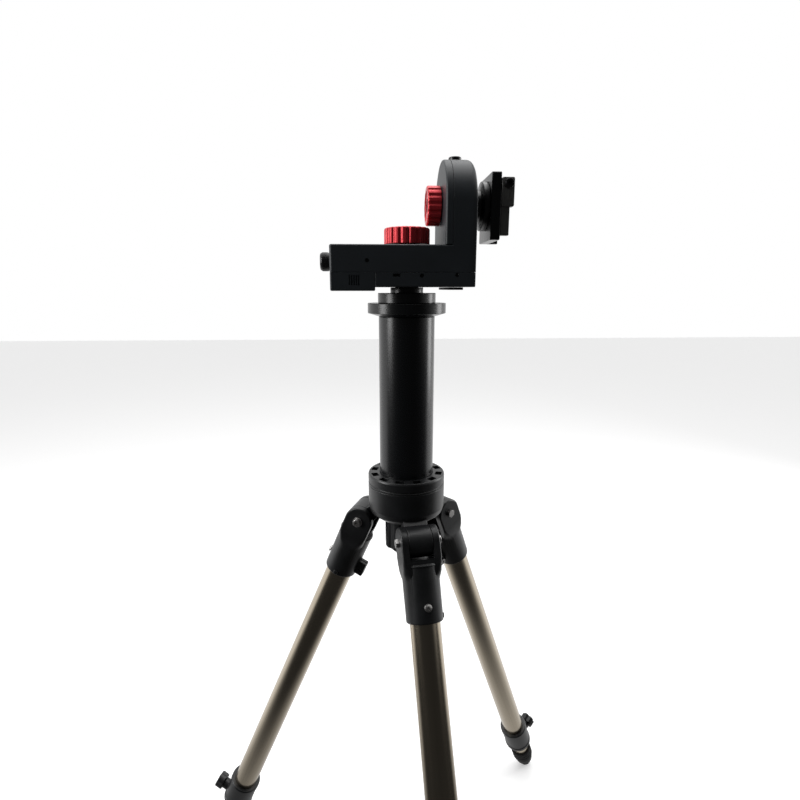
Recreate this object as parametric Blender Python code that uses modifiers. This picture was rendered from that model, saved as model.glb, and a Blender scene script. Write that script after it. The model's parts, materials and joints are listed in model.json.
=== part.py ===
"""A motorised alt-azimuth mount head on a column and a three-legged stand with telescopic tubes.

Units are metres, +Z is up and the front of the mount faces -Y. Heights in the head, column and hub
are counted from the top of the tripod hub, on the column's axis, where the empty "hub" stands.
"""

import math

import bmesh
import bpy
from mathutils import Matrix, Vector

MM = 0.001
MERGE = 0.00005
GAP = 0.3 * MM

# Tripod hub and column
HUB_RADIUS = 48.4 * MM
HUB_RING_HEIGHT = 14.4 * MM
HUB_BOTTOM = -58.0 * MM
HUB_RECESS_FLOOR = -33.3 * MM
POCKET_COUNT = 12
POCKET_CIRCLE = 41.2 * MM
POCKET_SIZE = (8.0 * MM, 11.0 * MM, 5.0 * MM)
COLUMN_RADIUS = 33.5 * MM
COLUMN_WALL = 3.0 * MM
COLUMN_TOP = 195.3 * MM
FLANGE_RADIUS = 46.5 * MM
FLANGE_TOP = 211.2 * MM
COLLAR_RADIUS = 34.3 * MM
COLLAR_TOP = 222.8 * MM
NECK_RADIUS = 19.4 * MM
MOUNTING_KNOB_RADIUS = 27.5 * MM
MOUNTING_KNOB_GRIP = 41.7 * MM
MOUNTING_KNOB_HEIGHT = 54.7 * MM
MOUNTING_BOLT_RADIUS = 4.8 * MM

# Legs, counted along the leg from its pivot
LEG_AZIMUTHS = (-80.5, 39.5, 159.5)
LEG_TILT = math.radians(23.5)
PIVOT_CIRCLE = 58.8 * MM
PIVOT_HEIGHT = -68.4 * MM
PIVOT_BOLT_RADIUS = 3.0 * MM
LUG_RADIUS = 18.5 * MM
LUG_HALF_WIDTH = 14.5 * MM
EAR_RADIUS = 18.5 * MM
EAR_INNER = 15.0 * MM
EAR_OUTER = 23.5 * MM
SLOT_FLOOR = 19.6 * MM
FORK_END = 40.0 * MM
SLEEVE_TOP = 25.0 * MM
SLEEVE_RADIUS_TOP = 22.6 * MM
SLEEVE_RADIUS_BOTTOM = 21.8 * MM
SOCKET_LENGTH = 90.0 * MM
SOCKET_SCREW_AT = 72.0 * MM
PINCH_SCREW_AT = 76.0 * MM
TUBE_RADIUS = 18.0 * MM
TUBE_WALL = 1.5 * MM
TUBE_TOP = 31.0 * MM
TUBE_BOTTOM = 574.6 * MM
LOWER_TUBE_RADIUS = 15.0 * MM
LOWER_TUBE_TOP = 200.0 * MM
LOWER_TUBE_BOTTOM = 644.7 * MM
CLAMP_TOP = 548.0 * MM
CLAMP_BOTTOM = 602.0 * MM
CLAMP_KNOB_AT = 588.0 * MM
FOOT_TOP = 625.0 * MM
FOOT_BALL_AT = 668.0 * MM
FOOT_BALL_RADIUS = 12.0 * MM

# Mount head
HALF_DEPTH = 49.0 * MM
BASE_LEFT = -86.9 * MM
BASE_RIGHT = 72.4 * MM
BASE_BOTTOM = 229.5 * MM
BASE_SEAM = 245.2 * MM
BASE_TOP = 274.6 * MM
BATTERY_SPLIT = -37.7 * MM
BATTERY_BOTTOM = 225.4 * MM
WALL = 2.5 * MM
ARM_LEFT = 38.5 * MM
ARM_SEAM = 43.5 * MM
ARM_COVER_BOTTOM = 275.0 * MM
ALTITUDE_HEIGHT = 320.4 * MM
KNOB_RADIUS_AZIMUTH = 26.5 * MM
KNOB_RADIUS_ALTITUDE = 22.0 * MM
USB_CENTRE = Vector((-14.4, 0.0, 242.2)) * MM
SCREW_PLACES = ((-46.4, 257.7), (13.1, 241.7), (51.7, 242.3))
SCREW_RADIUS = 2.0 * MM
END_CAP_HEIGHT = 258.3 * MM
GRIP_LEFT = -66.4 * MM
GRIP_PITCH = 2.5 * MM
GRIP_RIBS = 5

# Shafts and worm drives: a 36-tooth wheel of module 1.5 and a single-start worm
WHEEL_TEETH = 36
MODULE = 1.5 * MM
PITCH_RADIUS = WHEEL_TEETH * MODULE / 2
WHEEL_WIDTH = 7.0 * MM
WORM_DISTANCE = 33.0 * MM
WORM_CORE_RADIUS = 4.9 * MM
THREAD_RADIUS = 1.0 * MM
THREAD_CENTRE = 5.6 * MM
THREAD_TURNS = 4
THREAD_STEPS = 9
WORM_SHAFT_RADIUS = 2.0 * MM
SHAFT_RADIUS = 10.0 * MM
BEARING_WIDTH = 6.0 * MM
BEARING_RADIUS = 17.0 * MM
MOTOR_RADIUS = 10.0 * MM
MOTOR_LENGTH = 25.0 * MM
AZIMUTH_WHEEL_HEIGHT = 243.8 * MM
ALTITUDE_WHEEL_AT = 53.5 * MM

# Saddle on the right of the arm, with its dovetail groove along Z at rest
SADDLE_LEFT = 91.0 * MM
SADDLE_FACE = 102.0 * MM
SADDLE_HALF_WIDTH = 30.0 * MM
SADDLE_BOTTOM = 281.0 * MM
SADDLE_TOP = 353.0 * MM
JAW_INNER = 22.0 * MM
CLAMP_SCREW_AT = Vector((109.4, 0.0, 340.0)) * MM

FOOT_CIRCLE = PIVOT_CIRCLE + FOOT_BALL_AT * math.sin(LEG_TILT)
HUB_TOP = FOOT_BALL_RADIUS + FOOT_BALL_AT * math.cos(LEG_TILT) - PIVOT_HEIGHT


def column_axis():
    """Where the column stands, so that the feet's bounding box is centred on the origin."""
    xs = [FOOT_CIRCLE * math.cos(math.radians(a)) for a in LEG_AZIMUTHS]
    ys = [FOOT_CIRCLE * math.sin(math.radians(a)) for a in LEG_AZIMUTHS]
    return Vector((-(max(xs) + min(xs)) / 2, -(max(ys) + min(ys)) / 2, HUB_TOP))


# Scene, materials and small helpers


def clear_scene():
    for obj in list(bpy.data.objects):
        bpy.data.objects.remove(obj, do_unlink=True)


def new_collection(name):
    collection = bpy.data.collections.new(name)
    bpy.context.scene.collection.children.link(collection)
    return collection


def new_material(name, colour, roughness, metallic):
    material = bpy.data.materials.new(name)
    material.use_nodes = True
    shader = material.node_tree.nodes["Principled BSDF"]
    shader.inputs["Base Color"].default_value = (*colour, 1.0)
    shader.inputs["Roughness"].default_value = roughness
    shader.inputs["Metallic"].default_value = metallic
    material.diffuse_color = (*colour, 1.0)
    return material


FINISHES = {
    "housing": ((0.022, 0.028, 0.032), 0.45, 0.0),
    "moulded": ((0.012, 0.012, 0.013), 0.5, 0.0),
    "black_metal": ((0.010, 0.010, 0.011), 0.35, 0.6),
    "red": ((0.55, 0.02, 0.03), 0.3, 0.7),
    "steel": ((0.60, 0.58, 0.54), 0.25, 1.0),
    "grey_metal": ((0.32, 0.32, 0.32), 0.4, 0.9),
    "brass": ((0.70, 0.52, 0.22), 0.35, 1.0),
    "rubber": ((0.02, 0.02, 0.02), 0.85, 0.0),
    "board": ((0.02, 0.16, 0.07), 0.5, 0.0),
    "cell": ((0.10, 0.25, 0.45), 0.4, 0.0),
}


def finish_of(obj, finish):
    """Each object has a material of its own, named for it."""
    colour, roughness, metallic = FINISHES[finish]
    obj.data.materials.clear()
    obj.data.materials.append(new_material(obj.name + "_finish", colour, roughness, metallic))


def add_object(name, mesh, parent, at=(0, 0, 0), turn=(0, 0, 0), finish=None):
    """Link a mesh as a part when it has a finish, and as a cutter when it has none."""
    obj = bpy.data.objects.new(name, mesh)
    obj.location = at
    obj.rotation_euler = turn
    obj.parent = parent
    if finish:
        PARTS.objects.link(obj)
        finish_of(obj, finish)
    else:
        CUTTERS.objects.link(obj)
        obj.hide_render = True
        obj.display_type = "WIRE"
    return obj


def add_empty(name, parent=None, at=(0, 0, 0), turn=(0, 0, 0)):
    empty = bpy.data.objects.new(name, None)
    empty.location = at
    empty.rotation_euler = turn
    empty.parent = parent
    PARTS.objects.link(empty)
    return empty


def smooth(mesh):
    mesh.shade_smooth()
    mesh.set_sharp_from_angle(angle=math.radians(35))
    return mesh


def mesh_from(bm, name):
    mesh = bpy.data.meshes.new(name)
    bm.to_mesh(mesh)
    bm.free()
    return smooth(mesh)


AXES = {
    "X": Matrix.Rotation(math.pi / 2, 4, "Y"),
    "Y": Matrix.Rotation(-math.pi / 2, 4, "X"),
    "Z": Matrix.Identity(4),
}


def box_mesh(low, high):
    bm = bmesh.new()
    bmesh.ops.create_cube(bm, size=1.0)
    low, high = Vector(low), Vector(high)
    bmesh.ops.scale(bm, vec=high - low, verts=bm.verts)
    bmesh.ops.translate(bm, vec=(low + high) / 2, verts=bm.verts)
    return mesh_from(bm, "box")


def add_rod(bm, radius, start, length, axis, segments, end_radius=None):
    """A rod or cone from start along +axis, added to a bmesh."""
    place = Matrix.Translation(Vector(start)) @ AXES[axis] @ Matrix.Translation((0, 0, length / 2))
    bmesh.ops.create_cone(
        bm,
        cap_ends=True,
        segments=segments,
        radius1=radius,
        radius2=radius if end_radius is None else end_radius,
        depth=length,
        matrix=place,
    )


def rod_mesh(radius, start, length, axis="Z", segments=20, end_radius=None):
    bm = bmesh.new()
    add_rod(bm, radius, start, length, axis, segments, end_radius)
    return mesh_from(bm, "rod")


def turned_mesh(profile, closed, axis="Z", segments=24):
    """A profile of (radius, height) points turned about an axis, running down its outer side."""
    bm = bmesh.new()
    verts = [bm.verts.new((r, 0, z)) for r, z in profile]
    pairs = list(zip(verts, verts[1:]))
    if closed:
        pairs.append((verts[-1], verts[0]))
    for a, b in pairs:
        bm.edges.new((a, b))
    source = bpy.data.objects.new("profile", mesh_from(bm, "profile"))
    bpy.context.scene.collection.objects.link(source)
    screw = source.modifiers.new("turn", "SCREW")
    screw.axis = "Z"
    screw.steps = segments
    screw.render_steps = segments
    screw.use_merge_vertices = True
    screw.merge_threshold = MERGE
    screw.use_smooth_shade = True
    mesh = evaluated_mesh(source)
    mesh.transform(AXES[axis])
    return smooth(mesh)


def evaluated_mesh(source):
    """The mesh that an object's modifiers or curve settings make, and the object removed."""
    depsgraph = bpy.context.evaluated_depsgraph_get()
    mesh = bpy.data.meshes.new_from_object(source.evaluated_get(depsgraph))
    bpy.data.objects.remove(source, do_unlink=True)
    bm = bmesh.new()
    bm.from_mesh(mesh)
    bmesh.ops.remove_doubles(bm, verts=bm.verts, dist=MERGE)
    bm.to_mesh(mesh)
    bm.free()
    return mesh


def outline_mesh(points, start, thickness, axis="Z"):
    """A flat closed outline, filled and made thick along +axis from start."""
    curve = bpy.data.curves.new("outline", "CURVE")
    curve.dimensions = "2D"
    curve.fill_mode = "BOTH"
    curve.extrude = thickness / 2
    spline = curve.splines.new("POLY")
    spline.points.add(len(points) - 1)
    for slot, (x, y) in zip(spline.points, points):
        slot.co = (x, y, 0, 1)
    spline.use_cyclic_u = True
    source = bpy.data.objects.new("outline", curve)
    bpy.context.scene.collection.objects.link(source)
    mesh = evaluated_mesh(source)
    mesh.transform(Matrix.Translation((0, 0, thickness / 2)))
    mesh.transform(OUTLINE_AXES[axis])
    mesh.transform(Matrix.Translation(Vector(start)))
    return smooth(mesh)


# An outline's own (x, y) become (y, z) for a plate along X, and (x, -z) for one along Y.
OUTLINE_AXES = {
    "X": Matrix(((0, 0, 1, 0), (1, 0, 0, 0), (0, 1, 0, 0), (0, 0, 0, 1))),
    "Y": Matrix(((1, 0, 0, 0), (0, 0, 1, 0), (0, -1, 0, 0), (0, 0, 0, 1))),
    "Z": Matrix.Identity(4),
}


def arc(centre, radius, start, end, steps):
    """Points on an arc, with its angles in degrees."""
    angles = [math.radians(start + (end - start) * i / steps) for i in range(steps + 1)]
    return [(centre[0] + radius * math.cos(a), centre[1] + radius * math.sin(a)) for a in angles]


# The exact solver leaves slivers open on these two.
EXACT_LEAVES_OPEN = ("base_upper_shell", "azimuth_clutch_knob")


def cut(target, mesh):
    """Take a mesh, given in the target's own frame, out of the target."""
    combine(target, mesh, "DIFFERENCE")


def join(target, mesh):
    """Add a mesh, given in the target's own frame, to the target."""
    combine(target, mesh, "UNION")


def combine(target, mesh, operation):
    tool = add_object(target.name + "_tool", mesh, target.parent, target.location, target.rotation_euler)
    boolean = target.modifiers.new(operation.lower(), "BOOLEAN")
    boolean.operation = operation
    boolean.solver = "MANIFOLD" if target.name in EXACT_LEAVES_OPEN else "EXACT"
    boolean.object = tool


def bevel(obj, width, segments=2, angle=40):
    modifier = obj.modifiers.new("edges", "BEVEL")
    modifier.width = width
    modifier.segments = segments
    modifier.limit_method = "ANGLE"
    modifier.angle_limit = math.radians(angle)


def lobed_outline(radius, depth, lobes, steps=3):
    """A round outline with shallow scallops between broad lobes."""
    points = []
    for i in range(lobes * steps):
        angle = 2 * math.pi * i / (lobes * steps)
        dip = max(0.0, -math.cos(lobes * angle)) ** 0.7
        r = radius - depth * dip
        points.append((r * math.cos(angle), r * math.sin(angle)))
    return points


# Tripod hub and column


def lug_mesh():
    """One lug of the hub in a leg's upright frame: a barrel on the pivot, blended into the hub."""
    bm = bmesh.new()
    for y in (-LUG_HALF_WIDTH, LUG_HALF_WIDTH):
        for x, z in arc((0, 0), LUG_RADIUS, 0, 340, 17):
            bm.verts.new((x, y, z))
        for x, z in ((-20.0 * MM, 30.0 * MM), (-28.8 * MM, 11.6 * MM)):
            bm.verts.new((x, y, z))
    bmesh.ops.convex_hull(bm, input=bm.verts)
    return mesh_from(bm, "lug")


def at_pivot(mesh, azimuth):
    """Move a mesh from a leg's upright frame to its place on the hub."""
    mesh.transform(Matrix.Translation((PIVOT_CIRCLE, 0, PIVOT_HEIGHT)))
    mesh.transform(Matrix.Rotation(math.radians(azimuth), 4, "Z"))
    return mesh


def build_hub(hub):
    body_top = -HUB_RING_HEIGHT - GAP
    recess = COLUMN_RADIUS + GAP
    bore = MOUNTING_BOLT_RADIUS + GAP
    profile = [(recess, body_top), (HUB_RADIUS, body_top), (HUB_RADIUS, -43.0 * MM)]
    profile += [(HUB_RADIUS - 1.5 * MM, -49.5 * MM), (HUB_RADIUS - 6.0 * MM, -55.5 * MM)]
    profile += [(HUB_RADIUS - 12.0 * MM, HUB_BOTTOM), (bore, HUB_BOTTOM)]
    profile += [(bore, HUB_RECESS_FLOOR), (recess, HUB_RECESS_FLOOR)]
    body = add_object("hub_body", turned_mesh(profile, True, segments=32), hub, finish="moulded")
    for azimuth in LEG_AZIMUTHS:
        join(body, at_pivot(lug_mesh(), azimuth))
    bores = bmesh.new()
    for azimuth in LEG_AZIMUTHS:
        rod = rod_mesh(PIVOT_BOLT_RADIUS + GAP, (0, -20 * MM, 0), 40 * MM, "Y", 12)
        bores.from_mesh(at_pivot(rod, azimuth))
    cut(body, mesh_from(bores, "bores"))

    ring = [(recess, 0), (HUB_RADIUS - 1.2 * MM, 0), (HUB_RADIUS, -1.2 * MM)]
    ring += [(HUB_RADIUS, -HUB_RING_HEIGHT), (recess, -HUB_RING_HEIGHT)]
    cap = add_object("hub_top_ring", turned_mesh(ring, True, segments=32), hub, finish="moulded")
    pockets = bmesh.new()
    radial, tangential, depth = POCKET_SIZE
    for i in range(POCKET_COUNT):
        pocket = box_mesh((-radial / 2, -tangential / 2, -depth), (radial / 2, tangential / 2, depth))
        pocket.transform(Matrix.Translation((POCKET_CIRCLE, 0, 0)))
        pocket.transform(Matrix.Rotation(2 * math.pi * (i + 0.5) / POCKET_COUNT, 4, "Z"))
        pockets.from_mesh(pocket)
    cut(cap, mesh_from(pockets, "pockets"))

    head = EAR_OUTER + GAP
    for number, azimuth in enumerate(LEG_AZIMUTHS, start=1):
        bolt = [(0, head + 1.0 * MM), (2.2 * MM, head + 1.0 * MM), (2.2 * MM, head + 3.4 * MM)]
        bolt += [(4.2 * MM, head + 3.4 * MM), (5.0 * MM, head + 2.4 * MM), (5.0 * MM, head)]
        bolt += [(PIVOT_BOLT_RADIUS, head), (PIVOT_BOLT_RADIUS, -head), (5.4 * MM, -head)]
        bolt += [(5.4 * MM, -head - 4 * MM), (0, -head - 4 * MM)]
        mesh = at_pivot(turned_mesh(bolt, False, "Y", 12), azimuth)
        add_object(f"leg_pivot_bolt_{number}", mesh, hub, finish="steel")


def build_column(hub):
    inner = COLUMN_RADIUS - COLUMN_WALL
    foot = HUB_RECESS_FLOOR + GAP
    thread = MOUNTING_BOLT_RADIUS + GAP
    tube = [(inner, COLUMN_TOP), (COLUMN_RADIUS, COLUMN_TOP), (COLUMN_RADIUS, foot), (thread, foot)]
    tube += [(thread, foot + 24 * MM), (12 * MM, foot + 24 * MM), (12 * MM, foot + 6 * MM)]
    tube += [(inner, foot + 6 * MM)]
    add_object("column_tube", turned_mesh(tube, True), hub, finish="black_metal")

    bottom = COLUMN_TOP + GAP
    spigot = inner - GAP
    bore = SHAFT_RADIUS + GAP
    flange = [(bore, FLANGE_TOP), (FLANGE_RADIUS - 0.6 * MM, FLANGE_TOP)]
    flange += [(FLANGE_RADIUS, FLANGE_TOP - 0.6 * MM), (FLANGE_RADIUS, 199.5 * MM)]
    flange += [(COLUMN_RADIUS, bottom), (spigot, bottom), (spigot, 180 * MM), (bore, 180 * MM)]
    add_object("column_flange", turned_mesh(flange, True, segments=32), hub, finish="black_metal")


def build_mounting_knob(hub):
    """The knob under the hub, moulded on the bolt that holds the column down."""
    knob_top = HUB_BOTTOM - GAP
    straight = knob_top - MOUNTING_KNOB_GRIP
    bottom = knob_top - MOUNTING_KNOB_HEIGHT
    overlap = 1 * MM
    outline = lobed_outline(MOUNTING_KNOB_RADIUS, 2 * MM, 9)
    grip = outline_mesh(outline, (0, 0, straight), MOUNTING_KNOB_GRIP)
    knob = add_object("mounting_knob", grip, hub, finish="moulded")
    cone_length = straight - bottom + overlap
    join(knob, rod_mesh(12 * MM, (0, 0, bottom), cone_length, "Z", 24, 24.5 * MM))
    bolt_start = straight + overlap
    bolt_top = HUB_RECESS_FLOOR + 22 * MM
    join(knob, rod_mesh(MOUNTING_BOLT_RADIUS, (0, 0, bolt_start), bolt_top - bolt_start, "Z", 16))


# Legs


def socket_mesh_parts():
    """The fork, its web and the sleeve of a leg socket, in the leg's own frame."""
    ear = arc((0, 0), EAR_RADIUS, 0, 180, 10)
    ear += [(-EAR_RADIUS, -FORK_END), (EAR_RADIUS, -FORK_END)]
    outline = [(x, -z) for x, z in ear]
    fork = outline_mesh(outline, (0, -EAR_OUTER, 0), 2 * EAR_OUTER, "Y")
    sleeve_length = SOCKET_LENGTH - SLEEVE_TOP
    sleeve_start = (0, 0, -SOCKET_LENGTH)
    sleeve = rod_mesh(SLEEVE_RADIUS_BOTTOM, sleeve_start, sleeve_length, "Z", 28, SLEEVE_RADIUS_TOP)
    return fork, sleeve


def build_leg(number, hub):
    azimuth = math.radians(LEG_AZIMUTHS[number - 1])
    pivot = (
        PIVOT_CIRCLE * math.cos(azimuth),
        PIVOT_CIRCLE * math.sin(azimuth),
        PIVOT_HEIGHT,
    )
    leg = add_empty(f"leg_{number}", hub, pivot, (0, -LEG_TILT, azimuth))

    fork, sleeve = socket_mesh_parts()
    socket = add_object(f"leg_socket_{number}", fork, leg, finish="moulded")
    bevel(socket, 1.2 * MM, 1)
    join(socket, sleeve)
    join(socket, box_mesh((-32 * MM, -6 * MM, -84 * MM), (-15 * MM, 6 * MM, -64 * MM)))
    slot = box_mesh((-40 * MM, -EAR_INNER, -SLOT_FLOOR), (40 * MM, EAR_INNER, 40 * MM))
    cut(socket, slot)
    bore_length = SOCKET_LENGTH + 5 * MM - TUBE_TOP + GAP
    cut(socket, rod_mesh(TUBE_RADIUS + GAP, (0, 0, -SOCKET_LENGTH - 5 * MM), bore_length, "Z", 20))
    cut(socket, rod_mesh(PIVOT_BOLT_RADIUS + GAP, (0, -30 * MM, 0), 60 * MM, "Y", 12))
    cut(socket, rod_mesh(2.3 * MM, (15 * MM, 0, -SOCKET_SCREW_AT), 20 * MM, "X", 12))
    cut(socket, rod_mesh(2.3 * MM, (-27 * MM, -10 * MM, -PINCH_SCREW_AT), 20 * MM, "Y", 12))

    screw = [(0, 25.2 * MM), (2.6 * MM, 25.0 * MM), (4.4 * MM, 23.9 * MM), (4.6 * MM, 22.8 * MM)]
    screw += [(2.0 * MM, 22.8 * MM), (2.0 * MM, 19.0 * MM), (0, 19.0 * MM)]
    pan_head = turned_mesh(screw, False, "X", 12)
    add_object(f"leg_socket_screw_{number}", pan_head, leg, (0, 0, -SOCKET_SCREW_AT), finish="steel")

    tube_inner = TUBE_RADIUS - TUBE_WALL
    tube = [(tube_inner, -TUBE_TOP), (TUBE_RADIUS, -TUBE_TOP)]
    tube += [(TUBE_RADIUS, -TUBE_BOTTOM), (tube_inner, -TUBE_BOTTOM)]
    add_object(f"leg_upper_tube_{number}", turned_mesh(tube, True, segments=22), leg, finish="steel")

    build_leg_clamp(number, leg)

    inner = LOWER_TUBE_RADIUS - TUBE_WALL
    lower = [(inner, -LOWER_TUBE_TOP), (LOWER_TUBE_RADIUS, -LOWER_TUBE_TOP)]
    lower += [(LOWER_TUBE_RADIUS, -LOWER_TUBE_BOTTOM), (inner, -LOWER_TUBE_BOTTOM)]
    add_object(f"leg_lower_tube_{number}", turned_mesh(lower, True, segments=22), leg, finish="steel")

    seat = LOWER_TUBE_RADIUS + GAP
    floor = -LOWER_TUBE_BOTTOM - GAP
    foot = [(0, floor), (seat, floor), (seat, -FOOT_TOP), (18.5 * MM, -FOOT_TOP), (18.5 * MM, floor)]
    foot += [(15.5 * MM, -FOOT_BALL_AT + 8 * MM)]
    foot += arc((0, -FOOT_BALL_AT), FOOT_BALL_RADIUS, 0, -72, 4)
    foot += [(0, -FOOT_BALL_AT - FOOT_BALL_RADIUS)]
    add_object(f"leg_foot_{number}", turned_mesh(foot, False, segments=18), leg, finish="rubber")


def build_leg_clamp(number, leg):
    upper_seat = TUBE_RADIUS + GAP
    lower_seat = LOWER_TUBE_RADIUS + GAP
    step = -TUBE_BOTTOM - GAP
    collar = [(upper_seat, -CLAMP_TOP), (22.0 * MM, -CLAMP_TOP), (23.5 * MM, -CLAMP_TOP - 2 * MM)]
    collar += [(23.5 * MM, -CLAMP_BOTTOM + 6 * MM), (20.0 * MM, -CLAMP_BOTTOM), (lower_seat, -CLAMP_BOTTOM)]
    collar += [(lower_seat, step), (upper_seat, step)]
    clamp = add_object(f"leg_clamp_{number}", turned_mesh(collar, True, segments=22), leg, finish="moulded")
    join(clamp, rod_mesh(8 * MM, (17 * MM, 0, -CLAMP_KNOB_AT), 13 * MM, "X", 12))
    cut(clamp, rod_mesh(3.3 * MM, (14 * MM, 0, -CLAMP_KNOB_AT), 20 * MM, "X", 12))

    knob = add_object(
        f"leg_clamp_knob_{number}",
        outline_mesh(lobed_outline(12 * MM, 2.4 * MM, 5, 4), (30.4 * MM, 0, 0), 12 * MM, "X"),
        leg,
        (0, 0, -CLAMP_KNOB_AT),
        finish="moulded",
    )
    join(knob, rod_mesh(3.0 * MM, (16 * MM, 0, 0), 16 * MM, "X", 12))


# Worm drives


def worm_wheel_mesh():
    """A spur-cut worm wheel about Z, with its teeth between 25.4 mm and 27.7 mm radius."""
    root, tip = PITCH_RADIUS - 1.6 * MM, PITCH_RADIUS + 0.7 * MM
    half_root, half_tip = 1.3 * MM, 0.6 * MM
    points = []
    for i in range(WHEEL_TEETH):
        middle = 2 * math.pi * i / WHEEL_TEETH
        for radius, offset in ((root, -half_root), (tip, -half_tip), (tip, half_tip), (root, half_root)):
            angle = middle + offset / radius
            points.append((radius * math.cos(angle), radius * math.sin(angle)))
    return outline_mesh(points, (0, 0, -WHEEL_WIDTH / 2), WHEEL_WIDTH)


def worm_thread_mesh():
    """The worm's thread about X: a round rib wound on the core, advancing one pitch a turn."""
    pitch = math.pi * MODULE
    count = int(THREAD_TURNS * THREAD_STEPS)
    curve = bpy.data.curves.new("thread", "CURVE")
    curve.dimensions = "3D"
    curve.bevel_depth = THREAD_RADIUS
    curve.bevel_resolution = 0
    curve.use_fill_caps = True
    spline = curve.splines.new("POLY")
    spline.points.add(count)
    for i, slot in enumerate(spline.points):
        turns = i / THREAD_STEPS - THREAD_TURNS / 2
        angle = 2 * math.pi * turns
        x = pitch * turns
        slot.co = (x, THREAD_CENTRE * math.cos(angle), THREAD_CENTRE * math.sin(angle), 1)
    source = bpy.data.objects.new("thread", curve)
    bpy.context.scene.collection.objects.link(source)
    return smooth(evaluated_mesh(source))


def add_worm(name, parent, at, turn):
    """A worm on its shaft, along the local X axis, with the motor's end at +X."""
    core = rod_mesh(WORM_CORE_RADIUS, (-12 * MM, 0, 0), 24 * MM, "X", 12)
    worm = add_object(name, core, parent, at, turn, "steel")
    join(worm, rod_mesh(WORM_SHAFT_RADIUS, (-17 * MM, 0, 0), 41 * MM, "X", 12))
    join(worm, worm_thread_mesh())
    return worm


def add_motor(name, parent, at, turn):
    """A small geared stepper motor along the local X axis, bored for the worm's shaft."""
    can = rod_mesh(MOTOR_RADIUS, (0, 0, 0), MOTOR_LENGTH, "X", 20)
    motor = add_object(name, can, parent, at, turn, "grey_metal")
    bevel(motor, 0.8 * MM, 1)
    join(motor, rod_mesh(4.0 * MM, (-1.5 * MM, 0, 0), 3 * MM, "X", 20))
    cut(motor, rod_mesh(WORM_SHAFT_RADIUS + GAP, (-4 * MM, 0, 0), 12 * MM, "X", 12))
    return motor


def clutch_profile(low, high):
    """A clutch plate that is one piece with its push sleeve."""
    inner = SHAFT_RADIUS + GAP
    sleeve, plate = 13 * MM, 20 * MM
    face = low + 1.8 * MM
    return [(inner, high), (sleeve, high), (sleeve, face), (plate, face), (plate, low), (inner, low)]


def turned_over(profile):
    """A profile mirrored in height, still running down its outer side."""
    return [(r, -z) for r, z in reversed(profile)]


def build_azimuth_drive(hub):
    post = [(0, 290 * MM), (8 * MM, 290 * MM), (8 * MM, 266 * MM), (SHAFT_RADIUS, 266 * MM)]
    post += [(SHAFT_RADIUS, 240 * MM), (12 * MM, 240 * MM), (12 * MM, 233 * MM), (14 * MM, 233 * MM)]
    post += [(14 * MM, BASE_BOTTOM - GAP), (NECK_RADIUS, BASE_BOTTOM - GAP), (NECK_RADIUS, COLLAR_TOP)]
    post += [(COLLAR_RADIUS - 0.5 * MM, COLLAR_TOP), (COLLAR_RADIUS, COLLAR_TOP - 0.5 * MM)]
    post += [(COLLAR_RADIUS, FLANGE_TOP + GAP), (SHAFT_RADIUS, FLANGE_TOP + GAP)]
    post += [(SHAFT_RADIUS, 190 * MM), (0, 190 * MM)]
    add_object("azimuth_post", turned_mesh(post, False), hub, finish="black_metal")

    wheel_at = (0, 0, AZIMUTH_WHEEL_HEIGHT)
    wheel = add_object("azimuth_worm_wheel", worm_wheel_mesh(), hub, wheel_at, finish="brass")
    cut(wheel, rod_mesh(SHAFT_RADIUS + GAP, (0, 0, -10 * MM), 20 * MM, "Z", 20))
    clutch_low = AZIMUTH_WHEEL_HEIGHT + WHEEL_WIDTH / 2 + GAP
    clutch = turned_mesh(clutch_profile(clutch_low, 259.7 * MM), True)
    add_object("azimuth_clutch_plate", clutch, hub, finish="steel")

    knob = add_object(
        "azimuth_clutch_knob",
        outline_mesh(lobed_outline(KNOB_RADIUS_AZIMUTH, 1.3 * MM, 18), (0, 0, 277.7 * MM), 18.3 * MM),
        hub,
        finish="red",
    )
    join(knob, rod_mesh(12.5 * MM, (0, 0, 266.5 * MM), 12 * MM, "Z", 20))
    cut(knob, rod_mesh(8.3 * MM, (0, 0, 260 * MM), 32 * MM, "Z", 20))


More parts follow.
